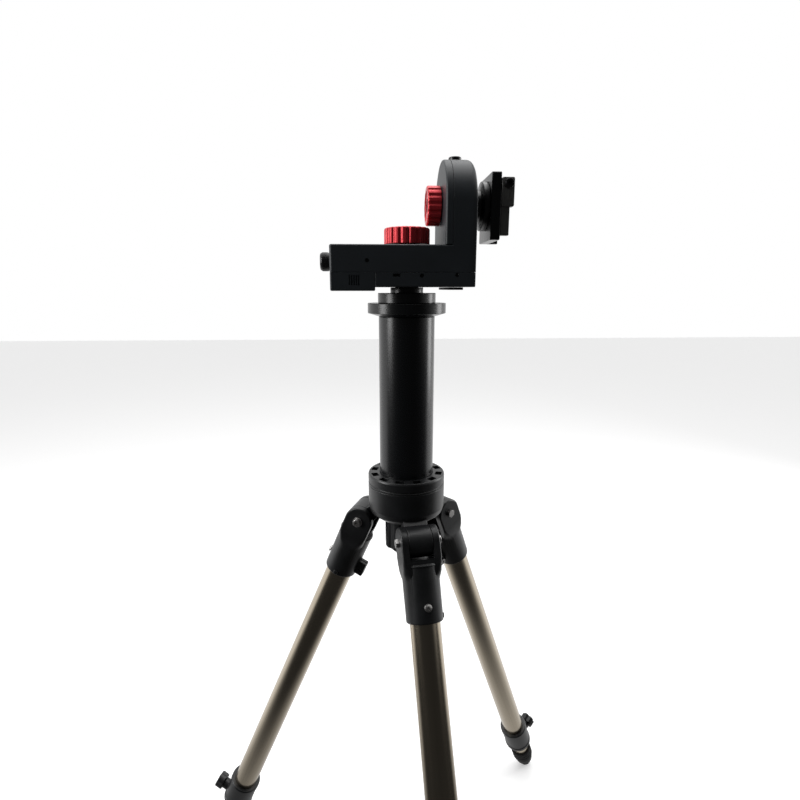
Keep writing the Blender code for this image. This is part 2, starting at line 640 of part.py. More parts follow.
def build_altitude_drive(altitude):
    """The turning group in a frame with its origin on the altitude axis, and X along that axis."""
    shaft = [(0, SADDLE_LEFT - GAP), (27 * MM, SADDLE_LEFT - GAP), (27 * MM, 84 * MM), (17 * MM, 83 * MM)]
    shaft += [(17 * MM, 76 * MM), (23.5 * MM, 75 * MM), (23.5 * MM, BASE_RIGHT + GAP)]
    shaft += [(14 * MM, BASE_RIGHT + GAP), (14 * MM, 67.3 * MM), (12.6 * MM, 67.3 * MM)]
    shaft += [(12.6 * MM, 57.3 * MM), (SHAFT_RADIUS, 57.3 * MM), (SHAFT_RADIUS, 40.9 * MM)]
    shaft += [(8 * MM, 40.9 * MM), (8 * MM, 26 * MM), (0, 26 * MM)]
    add_object("altitude_shaft", turned_mesh(shaft, False, "X"), altitude, finish="black_metal")

    wheel = worm_wheel_mesh()
    wheel.transform(AXES["X"])
    wheel_at = (ALTITUDE_WHEEL_AT, 0, 0)
    wheel_part = add_object("altitude_worm_wheel", wheel, altitude, wheel_at, finish="brass")
    cut(wheel_part, rod_mesh(SHAFT_RADIUS + GAP, (-10 * MM, 0, 0), 20 * MM, "X", 20))
    plate_high = ALTITUDE_WHEEL_AT - WHEEL_WIDTH / 2 - GAP
    clutch = turned_mesh(turned_over(clutch_profile(-plate_high, -47.4 * MM)), True, "X")
    add_object("altitude_clutch_plate", clutch, altitude, finish="steel")

    knob = add_object(
        "altitude_clutch_knob",
        outline_mesh(lobed_outline(KNOB_RADIUS_ALTITUDE, 1.2 * MM, 15), (21.9 * MM, 0, 0), 15.6 * MM, "X"),
        altitude,
        finish="red",
    )
    join(knob, rod_mesh(12.5 * MM, (36 * MM, 0, 0), 4.6 * MM, "X", 20))
    cut(knob, rod_mesh(8.3 * MM, (25 * MM, 0, 0), 20 * MM, "X", 20))


# Mount head


def arch(half_width, centre_height, bottom, steps=18):
    """The arm's side outline as (y, z) points: a half circle on straight sides."""
    points = arc((0, centre_height), half_width, 0, 180, steps)
    return points + [(-half_width, bottom), (half_width, bottom)]


def screw_bores(front):
    """Recesses for the housing's screws, on the front and back faces."""
    bores = bmesh.new()
    for x, z in SCREW_PLACES:
        for side in (-1, 1):
            start = side * (HALF_DEPTH + 1 * MM) - (10 * MM if side > 0 else 0)
            add_rod(bores, SCREW_RADIUS + GAP, (x * MM, start, z * MM), 10 * MM, "Y", 12)
    return mesh_from(bores, front)


def build_housing(head):
    upper_low = BASE_SEAM + GAP / 2
    upper = add_object(
        "base_upper_shell",
        box_mesh((BASE_LEFT, -HALF_DEPTH, upper_low), (BASE_RIGHT, HALF_DEPTH, BASE_TOP)),
        head,
        finish="housing",
    )
    arm_side = arch(HALF_DEPTH, ALTITUDE_HEIGHT, 260 * MM)
    arm = outline_mesh(arm_side, (ARM_SEAM, 0, 0), BASE_RIGHT - ARM_SEAM, "X")
    join(upper, arm)
    inner = HALF_DEPTH - WALL
    cut(upper, box_mesh((BASE_LEFT + WALL, -inner, 240 * MM), (BASE_RIGHT - WALL, inner, BASE_TOP - WALL)))
    hollow = arch(inner, ALTITUDE_HEIGHT, 265 * MM, 16)
    cut(upper, outline_mesh(hollow, (40 * MM, 0, 0), BASE_RIGHT - WALL - 40 * MM, "X"))
    seat = BEARING_RADIUS + GAP
    boss = [(seat, BASE_TOP - 1 * MM), (20 * MM, BASE_TOP - 1 * MM), (20 * MM, 262 * MM), (seat, 262 * MM)]
    join(upper, turned_mesh(boss, True, segments=22))
    boss_end = BASE_RIGHT - 1 * MM
    side_boss = [(seat, boss_end), (20 * MM, boss_end), (20 * MM, 62 * MM), (seat, 62 * MM)]
    side_ring = turned_mesh(side_boss, True, "X", 22)
    side_ring.transform(Matrix.Translation((0, 0, ALTITUDE_HEIGHT)))
    join(upper, side_ring)
    cut(upper, rod_mesh(13.2 * MM, (0, 0, 265 * MM), 20 * MM, "Z", 22))
    cut(upper, rod_mesh(14.6 * MM, (60 * MM, 0, ALTITUDE_HEIGHT), 20 * MM, "X", 22))
    cut(upper, rod_mesh(7.7 * MM, (54.2 * MM, 0, 368.4 * MM), 5 * MM, "Z", 20))
    cut(upper, rod_mesh(6.3 * MM, (-90 * MM, 0, END_CAP_HEIGHT), 12 * MM, "X", 12))
    cut(upper, screw_bores("upper"))

    lower_high = BASE_SEAM - GAP / 2
    left = BATTERY_SPLIT + GAP / 2
    lower = add_object(
        "base_lower_shell",
        box_mesh((left, -HALF_DEPTH, BASE_BOTTOM), (BASE_RIGHT, HALF_DEPTH, lower_high)),
        head,
        finish="housing",
    )
    cut(lower, box_mesh((left + WALL, -inner, BASE_BOTTOM + WALL), (BASE_RIGHT - WALL, inner, 260 * MM)))
    boss_low = BASE_BOTTOM + 1 * MM
    boss = [(seat, 239.5 * MM), (20 * MM, 239.5 * MM), (20 * MM, boss_low), (seat, boss_low)]
    join(lower, turned_mesh(boss, True, segments=22))
    worm_y = WORM_DISTANCE
    rest_low = (-16.5 * MM, worm_y - 5 * MM, boss_low)
    rest = box_mesh(rest_low, (-13.5 * MM, worm_y + 5 * MM, 249 * MM))
    join(lower, rest)
    cut(lower, rod_mesh(14.4 * MM, (0, 0, 220 * MM), 20 * MM, "Z", 22))
    bore = WORM_SHAFT_RADIUS + GAP
    cut(lower, rod_mesh(bore, (-20 * MM, worm_y, AZIMUTH_WHEEL_HEIGHT), 10 * MM, "X", 12))
    port = (4.1 * MM, 8 * MM, 1.7 * MM)
    centre = USB_CENTRE + Vector((0, -HALF_DEPTH, 0))
    cut(lower, box_mesh(centre - Vector(port), centre + Vector(port)))
    cut(lower, screw_bores("lower"))

    cover = add_object(
        "arm_cover",
        outline_mesh(
            arch(HALF_DEPTH, ALTITUDE_HEIGHT, ARM_COVER_BOTTOM),
            (ARM_LEFT, 0, 0),
            ARM_SEAM - GAP - ARM_LEFT,
            "X",
        ),
        head,
        finish="housing",
    )
    hollow = arch(inner, ALTITUDE_HEIGHT, ARM_COVER_BOTTOM + WALL)
    cut(cover, outline_mesh(hollow, (ARM_LEFT + WALL, 0, 0), 10 * MM, "X"))
    cover_boss = [(seat, 46.5 * MM), (20 * MM, 46.5 * MM), (20 * MM, 40 * MM), (seat, 40 * MM)]
    cover_ring = turned_mesh(cover_boss, True, "X", 22)
    cover_ring.transform(Matrix.Translation((0, 0, ALTITUDE_HEIGHT)))
    join(cover, cover_ring)
    cut(cover, rod_mesh(13.2 * MM, (30 * MM, 0, ALTITUDE_HEIGHT), 20 * MM, "X", 22))

    pad_low = (43.7 * MM, -44 * MM, BASE_BOTTOM - 3 * MM)
    pad = box_mesh(pad_low, (59.8 * MM, 44 * MM, BASE_BOTTOM - GAP))
    bevel(add_object("foot_pad", pad, head, finish="rubber"), 0.8 * MM, 1)


def build_bearings(head):
    """Ball bearings as closed rings: the azimuth pair about Z and the altitude pair about X."""
    lower_bore = 12 * MM + GAP
    right_bore = 12.6 * MM + GAP
    rings = (
        ("azimuth_bearing_lower", "Z", 0, 233.3 * MM, lower_bore),
        ("azimuth_bearing_upper", "Z", 0, 260 * MM, SHAFT_RADIUS + GAP),
        ("altitude_bearing_right", "X", ALTITUDE_HEIGHT, 61 * MM, right_bore),
        ("altitude_bearing_left", "X", ALTITUDE_HEIGHT, 41.1 * MM, SHAFT_RADIUS + GAP),
    )
    for name, axis, height, low, bore in rings:
        high = low + BEARING_WIDTH
        profile = [(bore, high), (BEARING_RADIUS, high), (BEARING_RADIUS, low), (bore, low)]
        add_object(name, turned_mesh(profile, True, axis, 22), head, (0, 0, height), finish="steel")


def build_electrics(head):
    inner = HALF_DEPTH - WALL
    board = box_mesh((-34 * MM, -46 * MM, 238.6 * MM), (30 * MM, -32 * MM, 240.2 * MM))
    add_object("circuit_board", board, head, finish="board")
    low = USB_CENTRE + Vector((-3.8 * MM, -HALF_DEPTH + 0.6 * MM, -1.4 * MM))
    high = USB_CENTRE + Vector((3.8 * MM, -HALF_DEPTH + 6.6 * MM, 1.4 * MM))
    socket = add_object("usb_socket", box_mesh(low, high), head, finish="steel")
    depth = 4 * MM
    rim = 0.5 * MM
    mouth_low = low + Vector((rim, -1 * MM, rim))
    mouth_high = Vector((high.x - rim, low.y + depth, high.z - rim))
    cut(socket, box_mesh(mouth_low, mouth_high))

    holder_left = BASE_LEFT + WALL + GAP
    holder_right = BATTERY_SPLIT - 1 * MM
    holder_low = (holder_left, -inner + 8 * MM, 229.6 * MM)
    holder_high = (holder_right, inner - 8 * MM, 270.5 * MM)
    holder = add_object("battery_box", box_mesh(holder_low, holder_high), head, finish="moulded")
    hollow_low = (holder_left + 1.4 * MM, -36 * MM, 220 * MM)
    hollow_high = (holder_right - 1.4 * MM, 36 * MM, 269 * MM)
    cut(holder, box_mesh(hollow_low, hollow_high))

    radius = 9.3 * MM
    spacing = 18.4 * MM
    middle = (holder_left + holder_right) / 2
    height = 249.6 * MM
    signs = (-1, 1)
    places = [(middle + i * spacing / 2, height + k * spacing / 2) for i in signs for k in signs]
    rods = [rod_mesh(radius, (x, -32.5 * MM, z), 65 * MM, "Y", 20) for x, z in places]
    pack = add_object("battery_pack", rods[0], head, finish="cell")
    for rod in rods[1:]:
        join(pack, rod)


def build_battery_cover(head):
    right = BATTERY_SPLIT - GAP / 2
    top = BASE_SEAM - GAP / 2
    cover = add_object(
        "battery_cover",
        box_mesh((BASE_LEFT, -HALF_DEPTH, BATTERY_BOTTOM), (right, HALF_DEPTH, top)),
        head,
        finish="housing",
    )
    inner = HALF_DEPTH - WALL
    cut(cover, box_mesh((BASE_LEFT + WALL, -inner, BATTERY_BOTTOM + 2.2 * MM), (0, inner, 260 * MM)))
    grooves = bmesh.new()
    for i in range(GRIP_RIBS):
        x = GRIP_LEFT + GRIP_PITCH * i
        for side in (-1, 1):
            y = side * HALF_DEPTH
            groove = box_mesh((x, y - 0.8 * MM, 232 * MM), (x + 1.2 * MM, y + 0.8 * MM, 242 * MM))
            grooves.from_mesh(groove)
    cut(cover, mesh_from(grooves, "grooves"))


def build_end_cap(head):
    """The screwed cap on the left end, over the socket for a counterweight bar."""
    face = BASE_LEFT - GAP
    profile = [(0, face + 2.4 * MM), (6.0 * MM, face + 2.4 * MM), (6.0 * MM, face), (10.7 * MM, face)]
    profile += [(10.7 * MM, -98 * MM), (9.2 * MM, -100.6 * MM), (0, -101 * MM)]
    mesh = turned_mesh(profile, False, "X", 20)
    add_object("end_cap_knob", mesh, head, (0, 0, END_CAP_HEIGHT), finish="moulded")


def build_level(head):
    seat = 368.7 * MM
    centre = (54.2 * MM, 0, seat)
    rim = [(0, 1.0 * MM), (5.6 * MM, 1.0 * MM), (5.6 * MM, 4.1 * MM), (6.6 * MM, 4.1 * MM)]
    rim += [(7.3 * MM, 3.4 * MM), (7.3 * MM, 0), (0, 0)]
    add_object("level_housing", turned_mesh(rim, False, segments=20), head, centre, finish="moulded")


# Saddle, in the altitude frame


def build_saddle(altitude):
    low = SADDLE_BOTTOM - ALTITUDE_HEIGHT
    high = SADDLE_TOP - ALTITUDE_HEIGHT
    half = SADDLE_HALF_WIDTH
    plate = add_object(
        "saddle_plate",
        box_mesh((SADDLE_LEFT, -half, low), (SADDLE_FACE, half, high)),
        altitude,
        finish="black_metal",
    )
    bevel(plate, 1.0 * MM, 1)
    jaw = [(JAW_INNER + 4 * MM, 101 * MM), (half, 101 * MM), (half, 112 * MM), (JAW_INNER, 112 * MM)]
    back_jaw = outline_mesh(jaw, (0, 0, low), high - low)
    back_jaw.transform(Matrix(((0, 1, 0, 0), (1, 0, 0, 0), (0, 0, 1, 0), (0, 0, 0, 1))))
    back_jaw.flip_normals()
    join(plate, back_jaw)

    front_face = -half
    foot = low + 5 * MM
    split = -4 * MM
    block_top = 27 * MM
    block = add_object(
        "saddle_clamp_block",
        box_mesh((SADDLE_FACE + GAP, front_face, split), (116.6 * MM, -JAW_INNER, block_top)),
        altitude,
        finish="grey_metal",
    )
    bevel(block, 1.2 * MM, 1)
    rail_low = (SADDLE_FACE + GAP, front_face + 1 * MM, foot)
    join(block, box_mesh(rail_low, (112 * MM, -JAW_INNER, split + 2 * MM)))
    screw_at = CLAMP_SCREW_AT - Vector((0, 0, ALTITUDE_HEIGHT))
    cut(block, rod_mesh(3.3 * MM, (screw_at.x, -40 * MM, screw_at.z), 30 * MM, "Y", 20))

    screw = [(0, 17.5 * MM), (3.0 * MM, 17.5 * MM), (3.0 * MM, 30.6 * MM), (5.0 * MM, 30.6 * MM)]
    screw += [(5.0 * MM, 36.0 * MM), (4.6 * MM, 36.6 * MM), (2.4 * MM, 36.6 * MM)]
    screw += [(2.4 * MM, 33.6 * MM), (0, 33.6 * MM)]
    clamp_screw = [(r, -y) for r, y in screw]
    add_object(
        "saddle_clamp_screw",
        turned_mesh(clamp_screw, False, "Y", 12),
        altitude,
        (screw_at.x, 0, screw_at.z),
        finish="steel",
    )
    pad_low = Vector((screw_at.x - 5 * MM, -17.2 * MM, screw_at.z - 5 * MM))
    pad_high = Vector((screw_at.x + 5 * MM, -14.7 * MM, screw_at.z + 5 * MM))
    pad = add_object("saddle_pressure_pad", box_mesh(pad_low, pad_high), altitude, finish="brass")
    bevel(pad, 0.6 * MM, 1)

    wells = bmesh.new()
    for y in (-14 * MM, 14 * MM):
        for z in (-14 * MM, 14 * MM):
            add_rod(wells, 4.3 * MM, (SADDLE_FACE - 4.5 * MM, y, z), 10 * MM, "X", 12)
    cut(plate, mesh_from(wells, "wells"))


def build_head(hub):
    head = add_empty("head", hub)
    build_housing(head)
    build_bearings(head)
    build_electrics(head)
    build_battery_cover(head)
    build_end_cap(head)
    build_level(head)
    add_worm("azimuth_worm", head, (0, WORM_DISTANCE, AZIMUTH_WHEEL_HEIGHT), (0, 0, 0))
    add_motor("azimuth_motor", head, (20 * MM, WORM_DISTANCE, AZIMUTH_WHEEL_HEIGHT), (0, 0, 0))
    worm_height = ALTITUDE_HEIGHT - WORM_DISTANCE
    quarter = (0, 0, math.pi / 2)
    in_mesh = (-math.pi / 2, 0, math.pi / 2)
    add_worm("altitude_worm", head, (ALTITUDE_WHEEL_AT, 0, worm_height), in_mesh)
    add_motor("altitude_motor", head, (ALTITUDE_WHEEL_AT, 20 * MM, worm_height), quarter)

    altitude = add_empty("altitude", head, (0, 0, ALTITUDE_HEIGHT))
    build_altitude_drive(altitude)
    build_saddle(altitude)


clear_scene()
PARTS = new_collection("telescope_mount_on_tripod")
CUTTERS = new_collection("cutters")
hub_empty = add_empty("hub", at=column_axis())
build_hub(hub_empty)
build_column(hub_empty)
build_mounting_knob(hub_empty)
build_azimuth_drive(hub_empty)
for leg_number in range(1, len(LEG_AZIMUTHS) + 1):
    build_leg(leg_number, hub_empty)
build_head(hub_empty)
bpy.context.view_layer.update()
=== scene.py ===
"""The looks of a telescope mount head on a column and tripod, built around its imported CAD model.

Lengths are in millimetres. The hub, column and head are measured from the top of the tripod hub, on the
column's axis, and each leg from its pivot. A shape is made in that space, and add_piece puts it in place in
metres. Faces that meet a CAD node are read from the node's box. Floor and lights are placed in metres.
"""

import json
import math

import bmesh
import bpy
from mathutils import Matrix, Vector


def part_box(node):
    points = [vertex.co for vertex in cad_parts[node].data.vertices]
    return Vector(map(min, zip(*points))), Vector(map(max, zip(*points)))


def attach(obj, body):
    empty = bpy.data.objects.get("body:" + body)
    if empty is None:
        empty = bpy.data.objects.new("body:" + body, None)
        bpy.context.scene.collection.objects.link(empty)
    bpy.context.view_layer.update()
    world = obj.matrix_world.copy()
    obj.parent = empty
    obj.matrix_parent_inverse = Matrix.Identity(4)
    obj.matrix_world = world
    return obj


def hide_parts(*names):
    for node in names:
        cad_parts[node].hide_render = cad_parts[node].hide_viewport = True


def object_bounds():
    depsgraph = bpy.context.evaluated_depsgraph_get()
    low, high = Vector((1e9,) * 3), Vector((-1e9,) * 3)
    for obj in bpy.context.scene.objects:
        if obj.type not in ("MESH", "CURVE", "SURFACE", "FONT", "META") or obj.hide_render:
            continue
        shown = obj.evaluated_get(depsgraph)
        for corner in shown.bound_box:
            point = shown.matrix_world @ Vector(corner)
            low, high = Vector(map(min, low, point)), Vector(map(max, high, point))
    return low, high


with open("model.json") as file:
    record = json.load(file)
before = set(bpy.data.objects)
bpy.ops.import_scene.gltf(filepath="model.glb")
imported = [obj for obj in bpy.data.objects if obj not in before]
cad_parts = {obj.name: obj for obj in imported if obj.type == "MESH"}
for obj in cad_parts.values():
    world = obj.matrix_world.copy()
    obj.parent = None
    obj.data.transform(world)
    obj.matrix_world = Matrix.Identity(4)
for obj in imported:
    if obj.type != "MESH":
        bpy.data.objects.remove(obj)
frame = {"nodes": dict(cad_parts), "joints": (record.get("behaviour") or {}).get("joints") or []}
cad_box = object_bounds()

MM = 0.001
JOINTS = {joint["name"]: joint for joint in frame["joints"]}
AZIMUTH = JOINTS["azimuth_turn"]["pos_m"]
HUB_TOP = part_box("hub_top_ring")[1].z
AXIS_POINT = Vector((AZIMUTH[0], AZIMUTH[1], HUB_TOP))
HEAD = Matrix.Translation(AXIS_POINT) @ Matrix.Scale(MM, 4)
ALTITUDE = (JOINTS["altitude_turn"]["pos_m"][2] - HUB_TOP) / MM
LEGS = (1, 2, 3)
ALTITUDE_AXIS = (0, 0, ALTITUDE)
SEAM_GAP = 0.3
HALF_GAP = SEAM_GAP / 2
COVER_GAP = 0.4
WALL = 2.5
ROUND = 96


def span(node, axis):
    """A CAD node's lowest and highest value along an axis of the head's space, in millimetres."""
    low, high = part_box(node)
    return (low[axis] - AXIS_POINT[axis]) / MM, (high[axis] - AXIS_POINT[axis]) / MM


BASE_LEFT, BASE_RIGHT = span("base_upper_shell", 0)
HALF_DEPTH = span("base_upper_shell", 1)[1]
SEAM = span("base_upper_shell", 2)[0] - HALF_GAP
BASE_BOTTOM = span("base_lower_shell", 2)[0]
BATTERY_SPLIT = span("battery_cover", 0)[1] + HALF_GAP
BATTERY_BOTTOM = span("battery_cover", 2)[0]
ARM_LEFT, ARM_SEAM = span("arm_cover", 0)
ARM_SEAM += SEAM_GAP
COVER_BOTTOM = span("arm_cover", 2)[0]
BASE_TOP = COVER_BOTTOM - COVER_GAP

# The hub, and the column that stands in its recess
HUB_RADIUS = 48.4
HUB_BOTTOM = -58.0
RING_BOTTOM = -14.4
RECESS_RADIUS = 33.8
RECESS_FLOOR = -33.3
COLUMN_RADIUS = 33.5
COLUMN_BORE = 30.5
BOLT_BORE = 5.1

# A leg's fork on its lug, and the two tubes below it
LUG_RADIUS = 18.5
LUG_HALF = 14.5
FORK_HALF = 23.5
PIVOT_BORE = 3.3
UPPER_TUBE = 18.0
UPPER_TUBE_BORE = 16.5
UPPER_TUBE_TOP = -31.0
UPPER_TUBE_END = -574.6
LOWER_TUBE = 15.0
LOWER_TUBE_BORE = 13.5
LOWER_TUBE_TOP = -200.0
LOWER_TUBE_END = -644.7
TUBE_SCREW_HEIGHT = -72.0
PINCH_SCREW = (-27.0, -76.0)
CLAMP_AXIS = (0, 0, -588.0)


def leg_place(number):
    """A leg's own space: X out and up, Z back along the tube to the pivot, at the pivot."""
    out = Vector(JOINTS[f"clamp_knob_turn_{number}"]["axis"])
    up = -Vector(JOINTS[f"leg_extend_{number}"]["axis"])
    side = up.cross(out)
    turn = Matrix((out, side, up)).transposed().to_4x4()
    return Matrix.Translation(JOINTS[f"leg_fold_{number}"]["pos_m"]) @ turn @ Matrix.Scale(MM, 4)


def hub_place(number):
    """The upright space of a hub lug: X outwards, Z up, at the leg's pivot."""
    out = Vector(JOINTS[f"clamp_knob_turn_{number}"]["axis"])
    turn = Matrix.Rotation(math.atan2(out.y, out.x), 4, "Z")
    return Matrix.Translation(JOINTS[f"leg_fold_{number}"]["pos_m"]) @ turn @ Matrix.Scale(MM, 4)


# Outlines and meshes

# Stands an outline's (x, y) up as (x, z), with its thickness along -Y.
UPRIGHT = Matrix(((1, 0, 0, 0), (0, 0, -1, 0), (0, 1, 0, 0), (0, 0, 0, 1)))
AXES = {
    "X": Matrix(((0, 0, 1, 0), (1, 0, 0, 0), (0, 1, 0, 0), (0, 0, 0, 1))),
    "Y": Matrix(((0, 1, 0, 0), (0, 0, 1, 0), (1, 0, 0, 0), (0, 0, 0, 1))),
    "Z": Matrix.Identity(4),
}


def arc(centre, radius, start, end, steps):
    """Points on an arc, with its angles in degrees."""
    angles = [math.radians(start + (end - start) * i / steps) for i in range(steps + 1)]
    return [(centre[0] + radius * math.cos(a), centre[1] + radius * math.sin(a)) for a in angles]


def fillet(points, closed, steps=4):
    """Corners given as (x, y, radius) are rounded, and those given as (x, y) stay sharp."""
    result = []
    for i, point in enumerate(points):
        at = Vector(point[:2])
        end = not closed and i in (0, len(points) - 1)
        if len(point) == 2 or end:
            result.append(tuple(at))
            continue
        before = (Vector(points[i - 1][:2]) - at).normalized()
        after = (Vector(points[(i + 1) % len(points)][:2]) - at).normalized()
        half = before.angle(after) / 2
        reach = point[2] / math.tan(half)
        start, stop = at + before * reach, at + after * reach
        centre = at + (before + after).normalized() * point[2] / math.sin(half)
        a, b = start - centre, stop - centre
        for k in range(steps + 1):
            t = k / steps
            way = a.slerp(b, t) if a.angle(b) > 1e-4 else a
            result.append(tuple(centre + way.normalized() * point[2]))
    return result


def finished(bm):
    """The mesh of a finished bmesh, with its faces pointing out."""
    bmesh.ops.remove_doubles(bm, verts=bm.verts, dist=0.0004)
    bmesh.ops.recalc_face_normals(bm, faces=bm.faces)
    mesh = bpy.data.meshes.new("shape")
    bm.to_mesh(mesh)
    bm.free()
    return mesh


def turned(profile, axis="Z", closed=False, segments=ROUND, at=(0, 0, 0)):
    """A profile of (radius, height[, fillet]) turned about an axis through at."""
    bm = bmesh.new()
    verts = [bm.verts.new((r, 0, z)) for r, z in fillet(profile, closed)]
    edges = [bm.edges.new(pair) for pair in zip(verts, verts[1:])]
    if closed:
        edges.append(bm.edges.new((verts[-1], verts[0])))
    around = {"cent": (0, 0, 0), "axis": (0, 0, 1), "angle": 2 * math.pi}
    bmesh.ops.spin(bm, geom=verts + edges, steps=segments, use_merge=True, **around)
    mesh = finished(bm)
    mesh.transform(Matrix.Translation(at) @ AXES[axis])
    return mesh


def stacked(bm, rings):
    """A closed mesh through rings with as many points each, and a face across both ends."""
    for lower, upper in zip(rings, rings[1:]):
        for i in range(len(lower)):
            j = (i + 1) % len(lower)
            bm.faces.new((lower[i], lower[j], upper[j], upper[i]))
    bm.faces.new(rings[0][::-1])
    bm.faces.new(rings[-1])
    return finished(bm)


def levels(low, high, round_low, round_high, steps=5):
    """(position, inset) pairs along a prism whose two end edges are rounded."""
    pairs = []
    for k in range(steps + 1):
        a = math.pi / 2 * k / steps
        pairs.append((low + round_low * (1 - math.cos(a)), round_low * (1 - math.sin(a))))
    for k in range(steps + 1):
        a = math.pi / 2 * (1 - k / steps)
        pairs.append((high - round_high * (1 - math.cos(a)), round_high * (1 - math.sin(a))))
    return pairs


def prism(outline, low, high, round_low=0.0, round_high=0.0, axis="Z", at=(0, 0, 0)):
    """outline(inset) gives a closed outline, stacked along an axis with rounded end edges."""
    bm = bmesh.new()
    rings = []
    last = None
    for position, inset in levels(low, high, round_low, round_high):
        if last is not None and abs(position - last[0]) + abs(inset - last[1]) < 1e-4:
            continue
        last = (position, inset)
        rings.append([bm.verts.new((x, y, position)) for x, y in outline(inset)])
    mesh = stacked(bm, rings)
    mesh.transform(Matrix.Translation(at) @ AXES[axis])
    return mesh


def loft(sections):
    """A body through rounded rectangles, each given as (height, half x, half y, corner)."""
    bm = bmesh.new()
    rings = []
    for height, half_x, half_y, corner in sections:
        outline = rectangle(-half_x, half_x, -half_y, half_y, corner)(0)
        rings.append([bm.verts.new((x, y, height)) for x, y in outline])
    return stacked(bm, rings)


def rectangle(x0, x1, y0, y1, corner, right_corner=None):
    """A rectangle with rounded corners, which may be another size on its right side."""

    def outline(inset):
        low_x, high_x = x0 + inset, x1 - inset
        low_y, high_y = y0 + inset, y1 - inset
        corners = ((high_x, high_y, 0), (low_x, high_y, 90), (low_x, low_y, 180), (high_x, low_y, 270))
        points = []
        for x, y, start in corners:
            size = right_corner if right_corner and x == high_x else corner
            r = max(size - inset, 0.02)
            centre = (x - r if x == high_x else x + r, y - r if y == high_y else y + r)
            points += arc(centre, r, start, start + 90, 5)
        return points

    return outline


def box(low, high, corner=0.1, edge=0.1, axis="Z"):
    """A box with rounded edges: corner along the axis, and edge around both ends."""
    a, b, c = {"X": (1, 2, 0), "Y": (2, 0, 1), "Z": (0, 1, 2)}[axis]
    outline = rectangle(low[a], high[a], low[b], high[b], corner)
    return prism(outline, low[c], high[c], edge, edge, axis)


def arch(half_width, centre, bottom, steps=48, side=1.0):
    """A half circle on straight sides, as (y, z) points, where an inset fades to a share at the sides."""

    def outline(inset):
        points = []
        for y, z in arc((0, centre), 1.0, 0, 180, steps):
            r = half_width - inset * (side + (1 - side) * (z - centre))
            points.append((y * r, centre + (z - centre) * r))
        r = half_width - inset * side
        return points + [(-r, bottom), (r, bottom)]

    return outline


def circle(radius, steps=32):
    """A round outline, or a regular polygon where steps is small."""

    def outline(inset):
        return arc((0, 0), radius - inset, 0, 360 - 360 / steps, steps - 1)

    return outline


def scalloped(radius, depth, lobes, sharpness, steps=14):
    """A round outline with scooped flutes between its lobes."""

    def outline(inset):
        points = []
        for i in range(lobes * steps):
            angle = 2 * math.pi * i / (lobes * steps)
            dip = max(0.0, -math.cos(lobes * angle)) ** sharpness
            r = radius - depth * dip - inset
            points.append((r * math.cos(angle), r * math.sin(angle)))
        return points

    return outline


def rod(radius, low, high, axis="Z", at=(0, 0, 0), edge=0.0, steps=32):
    """A round bar from low to high along an axis through at."""
    return prism(circle(radius, steps), low, high, edge, edge, axis, at)


def moved(mesh, x=0.0, y=0.0, z=0.0, turn=0.0):
    """The mesh turned about Z, in degrees, and then shifted."""
    mesh.transform(Matrix.Translation((x, y, z)) @ Matrix.Rotation(math.radians(turn), 4, "Z"))
    return mesh


def faced_back(mesh):
    """A screw made to face +Y, turned to face -Y."""
    mesh.transform(Matrix.Rotation(math.pi, 4, "X"))
    return mesh


def around_x(radius, degrees):
    """A point on a circle round the X axis."""
    return (0, radius * math.cos(math.radians(degrees)), radius * math.sin(math.radians(degrees)))


def merged(meshes):
    """Separate closed meshes as one mesh, for a cutter or a set of equal pieces."""
    bm = bmesh.new()
    for mesh in meshes:
        bm.from_mesh(mesh)
    result = bpy.data.meshes.new("shape")
    bm.to_mesh(result)
    bm.free()
    return result


def is_closed(mesh):
    """Whether every edge has exactly two faces, which the fast solver needs."""
    bm = bmesh.new()
    bm.from_mesh(mesh)
    closed = all(edge.is_manifold for edge in bm.edges)
    bm.free()
    return closed


def boolean(mesh, other, operation):
    """One mesh cut by or joined to another, refused where that could not work."""
    if not (is_closed(mesh) and is_closed(other)):
        raise RuntimeError(f"a {operation.lower()} needs two closed meshes")
    objects = [bpy.data.objects.new("tool", m) for m in (mesh, other)]
    for obj in objects:
        bpy.context.scene.collection.objects.link(obj)
    modifier = objects[0].modifiers.new("boolean", "BOOLEAN")
    modifier.operation = operation
    modifier.solver = "MANIFOLD"
    modifier.object = objects[1]
    depsgraph = bpy.context.evaluated_depsgraph_get()
    result = bpy.data.meshes.new_from_object(objects[0].evaluated_get(depsgraph))
    for obj in objects:
        bpy.data.objects.remove(obj, do_unlink=True)
    if not result.polygons:
        raise RuntimeError(f"a {operation.lower()} left nothing")
    return result


def cut(mesh, *others):
    for other in others:
        mesh = boolean(mesh, other, "DIFFERENCE")
    return mesh


def join(mesh, *others):
    for other in others:
        mesh = boolean(mesh, other, "UNION")
    return mesh


def softened(mesh, width, angle=38, segments=2):
    """Narrow rounds on a mesh's sharp edges."""
    obj = bpy.data.objects.new("tool", mesh)
    bpy.context.scene.collection.objects.link(obj)
    modifier = obj.modifiers.new("edges", "BEVEL")
    modifier.width = width
    modifier.segments = segments
    modifier.limit_method = "ANGLE"
    modifier.angle_limit = math.radians(angle)
    depsgraph = bpy.context.evaluated_depsgraph_get()
    result = bpy.data.meshes.new_from_object(obj.evaluated_get(depsgraph))
    bpy.data.objects.remove(obj, do_unlink=True)
    return result


# Materials: each is a Principled shader whose colour, roughness and bump come from noise

BROAD_SCALE = 38.0
NOISE_LOW, NOISE_HIGH = 0.3, 0.7


